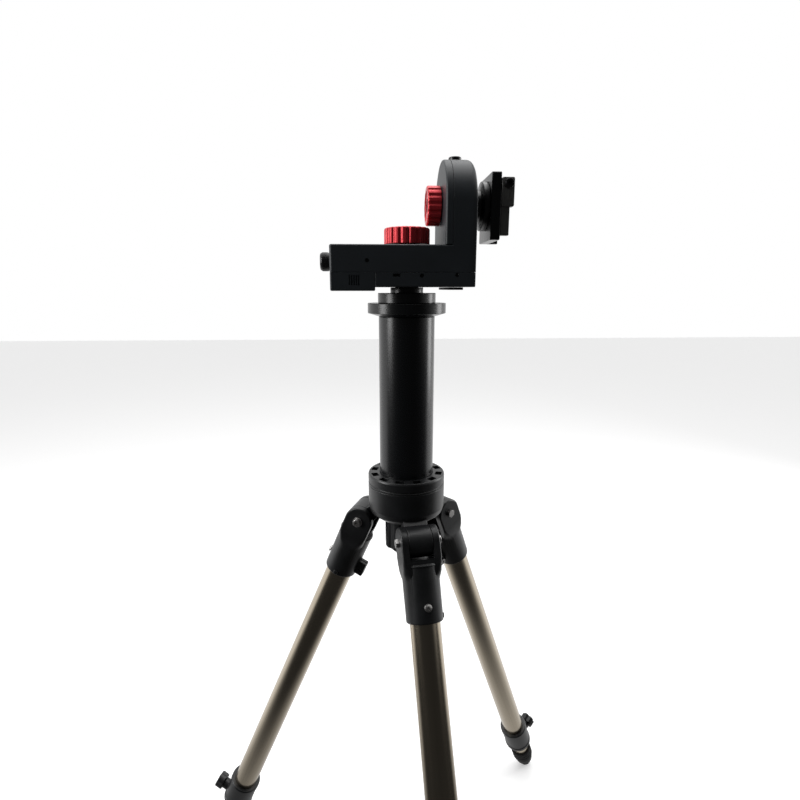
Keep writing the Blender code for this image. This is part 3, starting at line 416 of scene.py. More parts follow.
def surface(
    name,
    colour,
    roughness,
    metallic=0.0,
    grain=900.0,
    bump=0.1,
    depth=0.00005,
    vary=0.25,
    stretch=(1, 1, 1),
    coat=0.0,
    specular=0.5,
    wear=0.0,
):
    """grain is the texture's scale per metre, stretch its shape, and wear lightens patches."""
    material = bpy.data.materials.new(name)
    material.use_nodes = True
    nodes, links = material.node_tree.nodes, material.node_tree.links
    shader = nodes["Principled BSDF"]
    shader.inputs["Metallic"].default_value = metallic
    shader.inputs["Coat Weight"].default_value = coat
    shader.inputs["Coat Roughness"].default_value = 0.2
    shader.inputs["Specular IOR Level"].default_value = specular
    place = nodes.new("ShaderNodeTexCoord")
    mapping = nodes.new("ShaderNodeMapping")
    mapping.inputs["Scale"].default_value = stretch
    links.new(place.outputs["Object"], mapping.inputs["Vector"])

    def noise(scale, detail):
        node = nodes.new("ShaderNodeTexNoise")
        node.inputs["Scale"].default_value = scale
        node.inputs["Detail"].default_value = detail
        links.new(mapping.outputs["Vector"], node.inputs["Vector"])
        return node.outputs["Fac"]

    def spread(factor, low, high):
        node = nodes.new("ShaderNodeMapRange")
        node.inputs["From Min"].default_value = NOISE_LOW
        node.inputs["From Max"].default_value = NOISE_HIGH
        node.inputs["To Min"].default_value = low
        node.inputs["To Max"].default_value = high
        links.new(factor, node.inputs["Value"])
        return node.outputs["Result"]

    broad = noise(BROAD_SCALE, 4.0)
    fine = noise(grain, 3.0)
    tint = nodes.new("ShaderNodeMix")
    tint.data_type = "RGBA"
    tint.inputs["A"].default_value = (*[c * (1 - vary) for c in colour], 1)
    tint.inputs["B"].default_value = (*[min(1, c * (1 + vary) + wear) for c in colour], 1)
    links.new(spread(broad, 0.0, 1.0), tint.inputs["Factor"])
    links.new(tint.outputs["Result"], shader.inputs["Base Color"])
    links.new(spread(fine, roughness * 0.9, roughness * 1.12), shader.inputs["Roughness"])
    relief = nodes.new("ShaderNodeBump")
    relief.inputs["Strength"].default_value = bump
    relief.inputs["Distance"].default_value = depth
    links.new(fine, relief.inputs["Height"])
    links.new(relief.outputs["Normal"], shader.inputs["Normal"])
    return material


HOUSING = surface("charcoal_plastic", (0.0155, 0.0195, 0.0235), 0.46, grain=1500, bump=0.35, vary=0.12)
MOULDED = surface("moulded_black", (0.0065, 0.007, 0.0078), 0.36, grain=700, bump=0.5, vary=0.4, wear=0.003)
BLACK = surface("black_coat", (0.003, 0.0036, 0.0044), 0.27, grain=1800, bump=0.3, coat=0.1, vary=0.15)
BLACK_OXIDE = surface("black_oxide", (0.03, 0.03, 0.032), 0.3, 0.8, grain=1200, bump=0.2)
RED = surface("red_anodised", (0.58, 0.03, 0.04), 0.33, 0.55, grain=2500, bump=0.15, coat=0.2, vary=0.12)
TUBE = surface(
    "champagne_steel", (0.5, 0.435, 0.34), 0.2, 1.0, grain=420, bump=0.08, vary=0.05, stretch=(6, 6, 0.12)
)
SILVER = surface("zinc_screw", (0.5, 0.49, 0.48), 0.32, 1.0, grain=900, bump=0.25)
GREY = surface("grey_clamp", (0.13, 0.13, 0.125), 0.4, 0.25, grain=1300, bump=0.3, vary=0.15)
BRASS = surface("brass", (0.62, 0.44, 0.17), 0.3, 1.0, grain=900, bump=0.2)
RUBBER = surface("rubber", (0.014, 0.014, 0.014), 0.75, grain=1200, bump=0.6, specular=0.3)
BOARD = surface("circuit_board_green", (0.012, 0.10, 0.04), 0.4, grain=400, bump=0.2, coat=0.3)
CELL = surface("cell_sleeve", (0.03, 0.10, 0.28), 0.32, grain=300, bump=0.05, coat=0.4)
BEARING = surface("bearing_steel", (0.5, 0.5, 0.51), 0.2, 1.0, grain=700, bump=0.08)
CAN = surface("motor_can", (0.35, 0.35, 0.36), 0.35, 1.0, grain=700, bump=0.2)
SPIRIT = surface("level_spirit", (0.45, 0.62, 0.12), 0.08, grain=60, bump=0.01, coat=1.0, vary=0.1)


# Pieces


def add_piece(name, mesh, material, body, replaces=(), place=HEAD, smooth=32, own_space=False):
    """A finished piece from a mesh in millimetres, riding on a body and standing for CAD nodes.

    own_space keeps the piece's own axes, so that a drawn finish can run along it.
    """
    rigid = place @ Matrix.Scale(1 / MM, 4)
    mesh.transform(Matrix.Scale(MM, 4))
    if not own_space:
        mesh.transform(rigid)
        rigid = Matrix.Identity(4)
    mesh.materials.clear()
    mesh.materials.append(material)
    for polygon in mesh.polygons:
        polygon.material_index = 0
    mesh.shade_smooth()
    mesh.set_sharp_from_angle(angle=math.radians(smooth))
    obj = bpy.data.objects.new(name, mesh)
    bpy.context.scene.collection.objects.link(obj)
    obj.matrix_world = rigid
    weighted = obj.modifiers.new("flat_faces", "WEIGHTED_NORMAL")
    weighted.weight = 100
    weighted.keep_sharp = True
    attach(obj, body)
    if replaces:
        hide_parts(*replaces)
    return obj


def socket_screw(radius, height, hexagon, depth, axis="Z", shank=0.0, shank_radius=1.0):
    """A cap screw with a hexagon socket, its head from 0 to height along the axis."""
    head_round = radius * 0.12
    profile = [(0, height), (radius, height, head_round), (radius, 0)]
    if shank:
        profile += [(shank_radius, 0), (shank_radius, -shank)]
    profile.append((0, profile[-1][1]))
    screw = turned(profile, "Z", segments=40)
    key = prism(circle(hexagon, 6), height - depth, height + 1)
    screw = cut(screw, key)
    screw.transform(AXES[axis])
    return screw


# Hub and column


def build_hub():
    """A casting with three lugs and a recess for the column, under a ring with pockets."""
    body_top = RING_BOTTOM - SEAM_GAP
    waist_radius, foot_radius = HUB_RADIUS - 2.2, HUB_RADIUS - 12.0
    profile = [(RECESS_RADIUS, body_top), (HUB_RADIUS, body_top, 0.8), (HUB_RADIUS, -43.0, 6.0)]
    profile += [(waist_radius, -50.5, 5.0), (foot_radius, HUB_BOTTOM, 3.0), (BOLT_BORE, HUB_BOTTOM)]
    profile += [(BOLT_BORE, RECESS_FLOOR), (RECESS_RADIUS, RECESS_FLOOR)]
    body = turned(profile, closed=True)
    lug_places = [HEAD.inverted() @ hub_place(number) for number in LEGS]
    for place in lug_places:
        lug = lug_shape()
        lug.transform(place)
        body = join(body, lug)
    for place in lug_places:
        bore = rod(PIVOT_BORE, -20, 20, "Y")
        bore.transform(place)
        body = cut(body, bore)
    add_piece("hub_casting", softened(body, 0.5), MOULDED, "stand", ["hub_body"])

    top_radius, groove_radius = HUB_RADIUS - 0.8, HUB_RADIUS - 0.9
    ring = [(RECESS_RADIUS, 0, 0.4), (top_radius, 0, 1.2), (HUB_RADIUS, -2.2, 0.6), (HUB_RADIUS, -10.6)]
    ring += [(groove_radius, -11.1), (groove_radius, -12.2), (HUB_RADIUS, -12.7, 0.3)]
    ring += [(HUB_RADIUS, RING_BOTTOM, 0.3), (RECESS_RADIUS, RING_BOTTOM)]
    pocket_count, pocket_circle = 12, 41.2
    pockets = []
    for i in range(pocket_count):
        pocket = moved(box((-4.0, -5.5, -5.0), (4.0, 5.5, 5.0), corner=1.2, edge=0.4), x=pocket_circle)
        pockets.append(moved(pocket, turn=360 * (i + 0.5) / pocket_count))
    cap = cut(turned(ring, closed=True), merged(pockets))
    add_piece("hub_ring", softened(cap, 0.35), MOULDED, "stand", ["hub_top_ring"])


def lug_shape():
    """A lug's barrel across the pivot, with a block that runs back into the hub."""

    def outline(inset):
        points = arc((0, 0), LUG_RADIUS - inset, -98, 118, 40)
        return points + [(-24.0, 28.0 - inset), (-28.8, 11.6)]

    lug = prism(outline, -LUG_HALF, LUG_HALF, 1.0, 1.0)
    lug.transform(UPRIGHT)
    return lug


def build_column():
    """The column, the flange on top of it, and the post that the head turns on."""
    top, bottom, floor = 195.3, RECESS_FLOOR + SEAM_GAP, -27.0
    sleeve, sleeve_top = 12, -9.0
    tube = [(COLUMN_BORE, top, 0.4), (COLUMN_RADIUS, top, 0.6), (COLUMN_RADIUS, bottom)]
    tube += [(BOLT_BORE, bottom), (BOLT_BORE, sleeve_top), (sleeve, sleeve_top)]
    tube += [(sleeve, floor), (COLUMN_BORE, floor)]
    add_piece("column", turned(tube, closed=True), BLACK, "stand", ["column_tube"])

    rim, rim_top, rim_low = 46.5, 211.2, 199.5
    plug, plug_low, post_bore = COLUMN_BORE - SEAM_GAP, 180, 10.3
    flange = [(post_bore, rim_top), (rim, rim_top, 0.7), (rim, rim_low, 0.6)]
    flange += [(COLUMN_RADIUS + SEAM_GAP, 195.7, 0.3), (plug, top + SEAM_GAP)]
    flange += [(plug, plug_low), (post_bore, plug_low)]
    add_piece("flange", turned(flange, closed=True), BLACK, "stand", ["column_flange"])

    post_top, neck_top = 290, BASE_BOTTOM - SEAM_GAP
    neck, collar, collar_top = 19.4, 34.3, 222.8
    collar_low, foot, foot_low = rim_top + SEAM_GAP, post_bore - SEAM_GAP, 190
    post = [(0, post_top), (8, post_top, 0.6), (8, 266), (10, 266), (10, 240), (12, 240), (12, 233)]
    post += [(14, 233), (14, neck_top), (neck, neck_top, 0.4), (neck, collar_top, 0.3)]
    post += [(collar, collar_top, 0.7), (collar, collar_low, 0.4)]
    post += [(foot, collar_low), (foot, foot_low), (0, foot_low)]
    key = prism(circle(4.0, 6), post_top - 6, post_top + 2)
    add_piece("mount_post", cut(turned(post), key), BLACK, "stand", ["azimuth_post"])


def build_mounting_knob():
    """A lobed grip on a cone, round the bolt that holds the column down."""
    bottom, bolt_top = span("mounting_knob", 2)
    top = HUB_BOTTOM - SEAM_GAP
    cone_height = 13.0
    straight = bottom + cone_height
    knob = prism(scalloped(27.5, 1.9, 9, 0.7), straight, top, 1.2, 1.2)
    cone = [(0, straight + 1), (24.5, straight + 1), (24.5, straight - 0.5, 1.0)]
    cone += [(12, bottom, 2.0), (0, bottom)]
    bolt = rod(BOLT_BORE - SEAM_GAP, straight + 1, bolt_top, edge=0.5)
    knob = join(knob, turned(cone), bolt)
    add_piece("centre_knob", knob, MOULDED, "mounting_knob_body", ["mounting_knob"])


# Legs


def slot_outline(inset):
    """The fork's gap as (y, z) points, with rounded floor corners at the lug's clearance."""
    half, floor, past_top = LUG_HALF + 0.5 - inset, -19.6 + inset, 40.0 - inset
    return fillet([(-half, past_top), (-half, floor, 2.0), (half, floor, 2.0), (half, past_top)], True)


def socket_shape():
    """A leg's socket: fork ears on the lug, blended down into a tapering sleeve over the tube."""

    def fork_outline(inset):
        r = LUG_RADIUS - inset
        return arc((0, 0), r, 0, 180, 32) + [(-r, -20.0), (r, -20.0)]

    fork = prism(fork_outline, -FORK_HALF, FORK_HALF, 2.2, 2.2)
    fork.transform(UPRIGHT)
    blend = loft(
        [(-19, 18.3, 23.3, 2.5), (-24, 18.4, 23.4, 3.5), (-34, 18.0, 23.2, 8.0), (-48, 15.0, 20.5, 12.0)]
    )
    sleeve = turned([(0, -24.5), (22.4, -24.5, 0.8), (21.8, -90, 1.4), (0, -90)])
    lip = turned([(18, -25.5), (23.1, -25.5, 0.9), (23.1, -28.0, 0.9), (18, -28.0)], closed=True)
    pinch_x, pinch_height = PINCH_SCREW
    boss = box((-32, -6, pinch_height - 8), (-15, 6, pinch_height + 12), corner=1.5, edge=1.5)
    stud = box((-3, 19, -89), (3, 23.4, -83), corner=1.2, edge=1.2)
    socket = join(fork, blend, sleeve, lip, boss, stud)
    slot = prism(slot_outline, -40, 40, axis="X")
    bore = rod(UPPER_TUBE + SEAM_GAP, -95, UPPER_TUBE_TOP + SEAM_GAP, steps=64)
    pivot = rod(PIVOT_BORE, -30, 30, "Y")
    screw = rod(2.3, 15, 35, "X", (0, 0, TUBE_SCREW_HEIGHT))
    pinch = rod(2.3, -10, 10, "Y", (pinch_x, 0, pinch_height))
    split = box((-40, -0.8, -95), (-17, 0.8, -60), corner=0.2, edge=0.1)
    return softened(cut(socket, slot, bore, pivot, screw, pinch, split), 0.45)


def pan_head(radius, height):
    """A pan-head screw with a cross recess, its head standing on 0 and its shank below."""
    shank, shank_end = radius * 0.44, -3.8
    profile = [(0, height), (radius * 0.55, height * 0.97), (radius * 0.9, height * 0.62), (radius, 0.0)]
    profile += [(shank, 0.0), (shank, shank_end), (0, shank_end)]
    head = turned(profile, segments=40)
    reach, half_width = radius * 0.52, radius * 0.12
    for x, y in ((reach, half_width), (half_width, reach)):
        head = cut(head, box((-x, -y, height * 0.35), (x, y, height * 2), 0.05, 0.05))
    return head


def build_leg(number):
    """A leg's upper half: socket, its two screws, and the outer tube."""
    leg = leg_place(number)
    body = f"leg_{number}"
    add_piece(f"socket_{number}", socket_shape(), MOULDED, body, [f"leg_socket_{number}"], leg)
    screw = pan_head(4.6, 2.4)
    screw.transform(Matrix.Translation((22.8, 0, TUBE_SCREW_HEIGHT)) @ AXES["X"])
    node = f"leg_socket_screw_{number}"
    add_piece(f"tube_screw_{number}", screw, SILVER, body, [node], leg)
    pinch_x, pinch_height = PINCH_SCREW
    pinch = faced_back(socket_screw(4.0, 3.2, 1.8, 2.0, "Y", 9.0, 2.0))
    pinch = moved(pinch, pinch_x, -6.1, pinch_height)
    add_piece(f"pinch_screw_{number}", pinch, SILVER, body, (), leg)
    tube = [(UPPER_TUBE_BORE, UPPER_TUBE_TOP), (UPPER_TUBE, UPPER_TUBE_TOP)]
    tube += [(UPPER_TUBE, UPPER_TUBE_END, 0.4), (UPPER_TUBE_BORE, UPPER_TUBE_END)]
    tube = turned(tube, closed=True)
    node = f"leg_upper_tube_{number}"
    add_piece(f"outer_tube_{number}", tube, TUBE, body, [node], leg, own_space=True)


def build_tube_clamp(number):
    """The collar on the end of the outer tube, and the lobed knob that tightens it."""
    leg = leg_place(number)
    body = f"leg_{number}"
    rim, waist, top, bottom = 23.5, 22.7, -548, -602
    upper_bore, lower_bore = UPPER_TUBE + SEAM_GAP, LOWER_TUBE + SEAM_GAP
    step = UPPER_TUBE_END - SEAM_GAP
    collar = [(upper_bore, top), (22.5, top, 1.0), (rim, -550, 1.0), (rim, -556), (waist, -557)]
    collar += [(waist, -590), (rim, -591), (rim, -596, 1.0), (20.0, bottom, 0.8), (lower_bore, bottom)]
    collar += [(lower_bore, step), (upper_bore, step)]
    clamp = turned(collar, closed=True)
    bore = rod(3.3, 14, 34, "X", CLAMP_AXIS)
    boss = prism(circle(8.0, 40), 17, 30, 0.2, 0.8, "X", CLAMP_AXIS)
    clamp = cut(join(clamp, boss), rod(17.5, -600, -576.0), bore)
    add_piece(f"tube_clamp_{number}", clamp, MOULDED, body, [f"leg_clamp_{number}"], leg)
    grip = prism(scalloped(12.0, 2.4, 5, 0.8), 30.4, 42.4, 1.2, 1.6, "X", CLAMP_AXIS)
    knob = join(grip, rod(3.0, 16, 33, "X", CLAMP_AXIS))
    body = f"clamp_knob_{number}"
    add_piece(f"clamp_grip_{number}", knob, MOULDED, body, [f"leg_clamp_knob_{number}"], leg)


def build_lower_leg(number):
    """The inner tube and its grooved rubber foot."""
    leg = leg_place(number)
    body = f"lower_leg_{number}"
    tube = [(LOWER_TUBE_BORE, LOWER_TUBE_TOP), (LOWER_TUBE, LOWER_TUBE_TOP)]
    tube += [(LOWER_TUBE, LOWER_TUBE_END), (LOWER_TUBE_BORE, LOWER_TUBE_END)]
    tube = turned(tube, closed=True)
    node = f"leg_lower_tube_{number}"
    add_piece(f"inner_tube_{number}", tube, TUBE, body, [node], leg, own_space=True)
    seat, top, radius, bore = LOWER_TUBE_END - SEAM_GAP, -625, 18.5, LOWER_TUBE + SEAM_GAP
    foot = [(0, seat), (bore, seat), (bore, top), (radius, top, 0.8)]
    for groove in (-629, -635):
        foot += [(radius, groove), (radius - 0.8, groove - 0.6)]
        foot += [(radius - 0.8, groove - 2.0), (radius, groove - 2.6)]
    tip, tip_centre = 11.8, -668
    foot += [(radius, seat, 1.5), (15.5, -660), (12.0, -667.5)]
    foot += arc((0, tip_centre), tip, 0, -84, 16) + [(0, tip_centre - tip)]
    add_piece(f"rubber_foot_{number}", turned(foot), RUBBER, body, [f"leg_foot_{number}"], leg)


def build_pivot_bolt(number):
    """A hexagon-socket bolt with a washer on one side, and a nut on the other."""
    place = hub_place(number)
    ear = FORK_HALF + SEAM_GAP
    head, washer, nut_height = 4.2, 0.9, 3.6
    screw = socket_screw(5.0, head, 2.6, 2.6, "Y", 2 * ear + head, 3.0)
    plate = turned([(0, washer), (6.4, washer, 0.2), (6.4, 0.0), (0, 0.0)], "Y", segments=48)
    nut = prism(circle(5.6, 6), -ear - nut_height, -ear, 0.3, 0.1, "Y")
    bolt = join(moved(screw, y=ear + washer - 0.1), moved(plate, y=ear), nut)
    node = f"leg_pivot_bolt_{number}"
    add_piece(f"pivot_bolt_{number}", bolt, SILVER, "stand", [node], place)


# Head

# (x, z) of the housing screws: the first is in the upper casing, the others are in the lower one.
SCREW_PLACES = ((-46.4, 257.7), (13.1, 241.7), (51.7, 242.3))
USB_AT = (-14.4, 242.2)
END_CAP_HEIGHT = 258.3
LEVEL_AT = (54.2, 0, 368.7)
SHAFT_CLEARANCE = 13.2
GRIP_LEFT, GRIP_PITCH, GRIP_RIBS = -66.4, 2.5, 5


def screw_recesses(places):
    """Round recesses through the front and back walls."""
    recesses = []
    for x, z in places:
        for side in (-1, 1):
            middle = side * 46.0
            recesses.append(rod(2.3, middle - 4.0, middle + 5.0, "Y", (x, 0, z)))
    return merged(recesses)


def build_upper_casing():
    """The base's upper half in one with the right half of the arm, open inside."""
    inner = HALF_DEPTH - WALL
    low = SEAM + HALF_GAP
    base_outline = rectangle(BASE_LEFT, 55.0, -HALF_DEPTH, HALF_DEPTH, 3.0)
    base = prism(base_outline, low, BASE_TOP, 0.3, 2.0)
    arm = prism(arch(HALF_DEPTH, ALTITUDE, low, side=0.15), ARM_SEAM, BASE_RIGHT, 0.4, 7.5, "X")
    trim = box((0, -80, low - 20), (90, 80, low), 0.05, 0.05)
    shell = join(base, cut(arm, trim))
    room = box((BASE_LEFT + WALL, -inner, 200), (BASE_RIGHT - WALL - 1, inner, BASE_TOP - WALL), 2, 2)
    arm_room = prism(arch(inner - 3, ALTITUDE, 262), 40, BASE_RIGHT - WALL, 0.1, 3.0, "X")
    shell = cut(shell, room, arm_room)

    boss_bore, boss_radius = 17.3, 20
    upper = [(boss_bore, 272.5), (boss_radius, 272.5), (boss_radius, 262), (boss_bore, 262)]
    end, start = BASE_RIGHT - 1, 62
    side = [(boss_bore, end), (boss_radius, end), (boss_radius, start), (boss_bore, start)]
    shell = join(shell, turned(upper, closed=True), turned(side, "X", True, at=ALTITUDE_AXIS))

    level_x, _, level_seat = LEVEL_AT
    shell = cut(
        shell,
        rod(SHAFT_CLEARANCE, 265, 285, steps=64),
        rod(14.6, 60, 80, "X", ALTITUDE_AXIS, steps=64),
        rod(7.7, level_seat - SEAM_GAP, 373.4, at=(level_x, 0, 0), steps=48),
        rod(6.3, -90, -78, "X", (0, 0, END_CAP_HEIGHT)),
        screw_recesses(SCREW_PLACES[:1]),
    )
    add_piece("upper_casing", softened(shell, 0.25), HOUSING, "head", ["base_upper_shell"])


def build_lower_casing():
    """The base's lower half, from the battery cover to the right end, with the port's opening."""
    inner = HALF_DEPTH - WALL
    left, high = BATTERY_SPLIT + HALF_GAP, SEAM - HALF_GAP
    outline = rectangle(left, BASE_RIGHT, -HALF_DEPTH, HALF_DEPTH, 0.4, 1.4)
    port_x, port_z = USB_AT
    port = box((port_x - 4.1, -60, port_z - 1.7), (port_x + 4.1, -41, port_z + 1.7), 0.6, 0.1, "Y")
    lower = cut(
        prism(outline, BASE_BOTTOM, high, 1.4, 0.3),
        box((left + WALL, -inner, BASE_BOTTOM + WALL), (BASE_RIGHT - WALL, inner, 260), 2, 1),
        rod(14.4, 220, 240, steps=64),
        port,
        screw_recesses(SCREW_PLACES[1:]),
    )
    add_piece("lower_casing", softened(lower, 0.25), HOUSING, "head", ["base_lower_shell"])


def build_arm_casing():
    """The arm's left half, with a bore for the altitude shaft."""
    inner = HALF_DEPTH - WALL
    cover = prism(arch(HALF_DEPTH, ALTITUDE, COVER_BOTTOM), ARM_LEFT, ARM_SEAM - SEAM_GAP, 2.4, 0.4, "X")
    hollow = prism(arch(inner, ALTITUDE, COVER_BOTTOM + WALL), ARM_LEFT + WALL, 60, 0.1, 0.1, "X")
    bore = rod(SHAFT_CLEARANCE, 30, 50, "X", ALTITUDE_AXIS, steps=64)
    cover = cut(cover, hollow, bore)
    add_piece("arm_casing", softened(cover, 0.25), HOUSING, "head", ["arm_cover"])


def build_housing_screws():
    number = 0
    for x, z in SCREW_PLACES:
        for side in (-1, 1):
            number += 1
            screw = socket_screw(2.0, 1.6, 1.1, 1.0, "Y", 5.0, 1.0)
            if side < 0:
                screw = faced_back(screw)
            screw = moved(screw, x, side * (HALF_DEPTH - 2.4), z)
            add_piece(f"housing_screw_{number}", screw, BLACK_OXIDE, "head")


def build_base_pad():
    """A grooved rubber pad under the right end."""
    low, high = span("foot_pad", 2)
    groove_left, groove_pitch, groove_width, groove_count = 46.5, 3.0, 0.8, 4
    grooves = []
    for i in range(groove_count):
        x = groove_left + groove_pitch * i
        grooves.append(box((x, -60, low - 1), (x + groove_width, 60, low + 0.5), 0.1, 0.1))
    pad = cut(box((43.7, -44, low), (59.8, 44, high), 2.0, 0.5), merged(grooves))
    add_piece("base_pad", pad, RUBBER, "head", ["foot_pad"])


def build_battery_door():
    """The sliding cover under the left end, with a ribbed grip on its front and back."""
    right, high = BATTERY_SPLIT - HALF_GAP, SEAM - HALF_GAP
    inner = HALF_DEPTH - WALL
    outline = rectangle(BASE_LEFT, right, -HALF_DEPTH, HALF_DEPTH, 2.2, 0.3)
    cover = prism(outline, BATTERY_BOTTOM, high, 1.6, 0.3)
    room = box((BASE_LEFT + WALL, -inner, BATTERY_BOTTOM + 2.2), (10, inner, 260), 1, 1)
    grooves = []
    for i in range(GRIP_RIBS):
        x = GRIP_LEFT + GRIP_PITCH * i
        for side in (-1, 1):
            y = side * HALF_DEPTH
            grooves.append(box((x, y - 1.2, 231.5), (x + 1.4, y + 1.2, 242.5), 0.5, 0.3))
    cover = softened(cut(cut(cover, room), merged(grooves)), 0.2)
    add_piece("battery_door", cover, HOUSING, "battery_cover_body", ["battery_cover"])


def build_end_cap():
    """The fluted round cap on the left end."""
    face, end, radius, flute_count = BASE_LEFT - SEAM_GAP, -100.6, 10.7, 30
    profile = [(0, face + 2.4), (6, face + 2.4), (6, face), (radius, face, 0.4), (radius, face - 3.0)]
    profile += [(10.2, face - 3.4), (10.2, face - 4.0), (radius, face - 4.4), (radius, end + 2.6, 1.0)]
    profile += [(9.2, end, 0.8), (7.2, end, 0.3), (6.8, end + 0.4), (0, end + 0.4)]
    cap = turned(profile, "X", segments=72)
    flutes = []
    for i in range(flute_count):
        at = around_x(radius + 0.15, 360 * i / flute_count)
        flutes.append(rod(0.55, end + 1.0, face - 5.2, "X", at, steps=10))
    cap = moved(cut(cap, merged(flutes)), z=END_CAP_HEIGHT)
    add_piece("end_cap", cap, MOULDED, "end_cap_body", ["end_cap_knob"])


def build_usb_tongue():
    x, z = USB_AT
    tongue = box((x - 2.6, -46.0, z - 0.3), (x + 2.6, -44.4, z + 0.3), 0.1, 0.1)
    add_piece("usb_tongue", tongue, MOULDED, "head")


def build_level():
    """The round bubble level on the arm: a ring, its vial, and the circle marked on it."""
    rim = [(0, 1.0), (5.4, 1.0), (5.4, 4.1, 0.2), (6.8, 4.1, 0.3), (7.3, 3.2, 0.4), (7.3, 0), (0, 0)]
    ring = turned(rim, segments=64, at=LEVEL_AT)
    add_piece("level_ring", ring, BLACK, "head", ["level_housing"])
    vial = [(0, 3.7), (2.5, 3.6), (4.2, 3.3), (5.2, 2.8, 0.3), (5.2, 1.1), (0, 1.1)]
    add_piece("level_vial", turned(vial, segments=48, at=LEVEL_AT), SPIRIT, "head")
    mark = [(1.7, 3.85), (1.9, 3.85), (1.9, 3.5), (1.7, 3.5)]
    mark = turned(mark, closed=True, segments=40, at=LEVEL_AT)
    add_piece("level_mark", mark, MOULDED, "head")


# Clutch knobs

KNOB_BORE = 8.3
KNOB_HUB = 12.5


def build_azimuth_knob():
    """The lobed red knob on top of the base, on a neck coloured black as painted shade under the knob."""
    low, high, dish_depth = 277.7, 296.0, 1.2
    floor = high - dish_depth
    knob = prism(scalloped(26.5, 1.5, 18, 0.8), low, high, 0.8, 2.4)
    dish = turned([(0, high + 1), (21.0, high + 1), (21.0, floor, 0.5), (0, floor)])
    knob = join(cut(knob, dish), rod(KNOB_HUB, 266.5, low + 1, steps=64))
    knob = cut(knob, rod(KNOB_BORE, 260, 300, steps=48))
    body = "azimuth_knob_body"
    add_piece("azimuth_knob", knob, RED, body, ["azimuth_clutch_knob"], smooth=48)
    # The neck is coloured black. This is painted shade for the shadow that falls under the knob's rim.
    neck_low, neck_high, neck_bore = BASE_TOP + 0.5, low - SEAM_GAP, KNOB_HUB + 0.1
    neck = [(neck_bore, neck_high), (15.0, neck_high, 0.4), (15.0, neck_low, 0.3), (neck_bore, neck_low)]
    add_piece("azimuth_knob_neck", turned(neck, closed=True), BLACK, body)


def build_altitude_knob():
    """The lobed red knob on the left face of the arm."""
    left, right, dish_depth = 21.9, 37.5, 1.2
    floor = left + dish_depth
    knob = prism(scalloped(22.0, 1.4, 15, 0.8), left, right, 2.2, 0.8, "X", ALTITUDE_AXIS)
    dish = turned([(0, floor), (16.5, floor, 0.5), (16.5, left - 1), (0, left - 1)], "X", at=ALTITUDE_AXIS)
    knob = join(cut(knob, dish), rod(KNOB_HUB, right - 1, 40.6, "X", ALTITUDE_AXIS, steps=64))
    knob = cut(knob, rod(KNOB_BORE, 15, 45, "X", ALTITUDE_AXIS, steps=48))
    body = "altitude_knob_body"
    add_piece("altitude_knob", knob, RED, body, ["altitude_clutch_knob"], smooth=48)


# Saddle, which turns with the altitude shaft

SADDLE_HALF = 30
CLAMP_LEFT = 102.3
CLAMP_SCREW_X, CLAMP_SCREW_Z = 109.4, 340.0


def build_shaft():
    """The altitude shaft, whose boss shows between the arm and the saddle."""
    face, boss_end, boss = BASE_RIGHT + SEAM_GAP, 90.7, 27
    shaft = [(0, boss_end), (boss, boss_end, 0.5), (boss, 84.5, 0.6), (17.2, 82.8, 0.5), (17.2, 76.3, 0.5)]
    shaft += [(23.5, 75, 0.6), (23.5, face, 0.3), (14, face), (14, 67.3), (12.6, 67.3), (12.6, 57.3)]
    shaft += [(10, 57.3), (10, 40.9), (8, 40.9), (8, 26, 0.5), (0, 26)]
    key = prism(circle(4.0, 6), 24, 31, axis="X", at=ALTITUDE_AXIS)
    shaft = cut(turned(shaft, "X", at=ALTITUDE_AXIS), key)
    add_piece("altitude_spindle", shaft, BLACK, "altitude_group", ["altitude_shaft"])


def build_saddle_plate():
    """The plate with its fixed jaw, and the four screws in its wells."""
    low, high = span("saddle_plate", 2)
    plate = box((91, -SADDLE_HALF, low), (102, SADDLE_HALF, high), 2.0, 1.0, "X")
    jaw_outline = fillet([(101, 26), (112, 22, 0.6), (112, SADDLE_HALF, 1.2), (101, SADDLE_HALF)], True)
    jaw = prism(lambda inset: jaw_outline, low, high)
    spacing, well_floor = 14, 97.5
    places = [(y, ALTITUDE + z) for y in (-spacing, spacing) for z in (-spacing, spacing)]
    wells = [rod(4.3, well_floor, 107, "X", (0, y, z)) for y, z in places]
    plate = softened(cut(join(plate, jaw), merged(wells)), 0.4)
    add_piece("saddle_body", plate, BLACK, "altitude_group", ["saddle_plate"])
    for number, (y, z) in enumerate(places, start=1):
        screw = moved(socket_screw(4.0, 4.0, 1.7, 2.4, "X"), well_floor, y, z)
        add_piece(f"saddle_screw_{number}", screw, BLACK_OXIDE, "altitude_group")


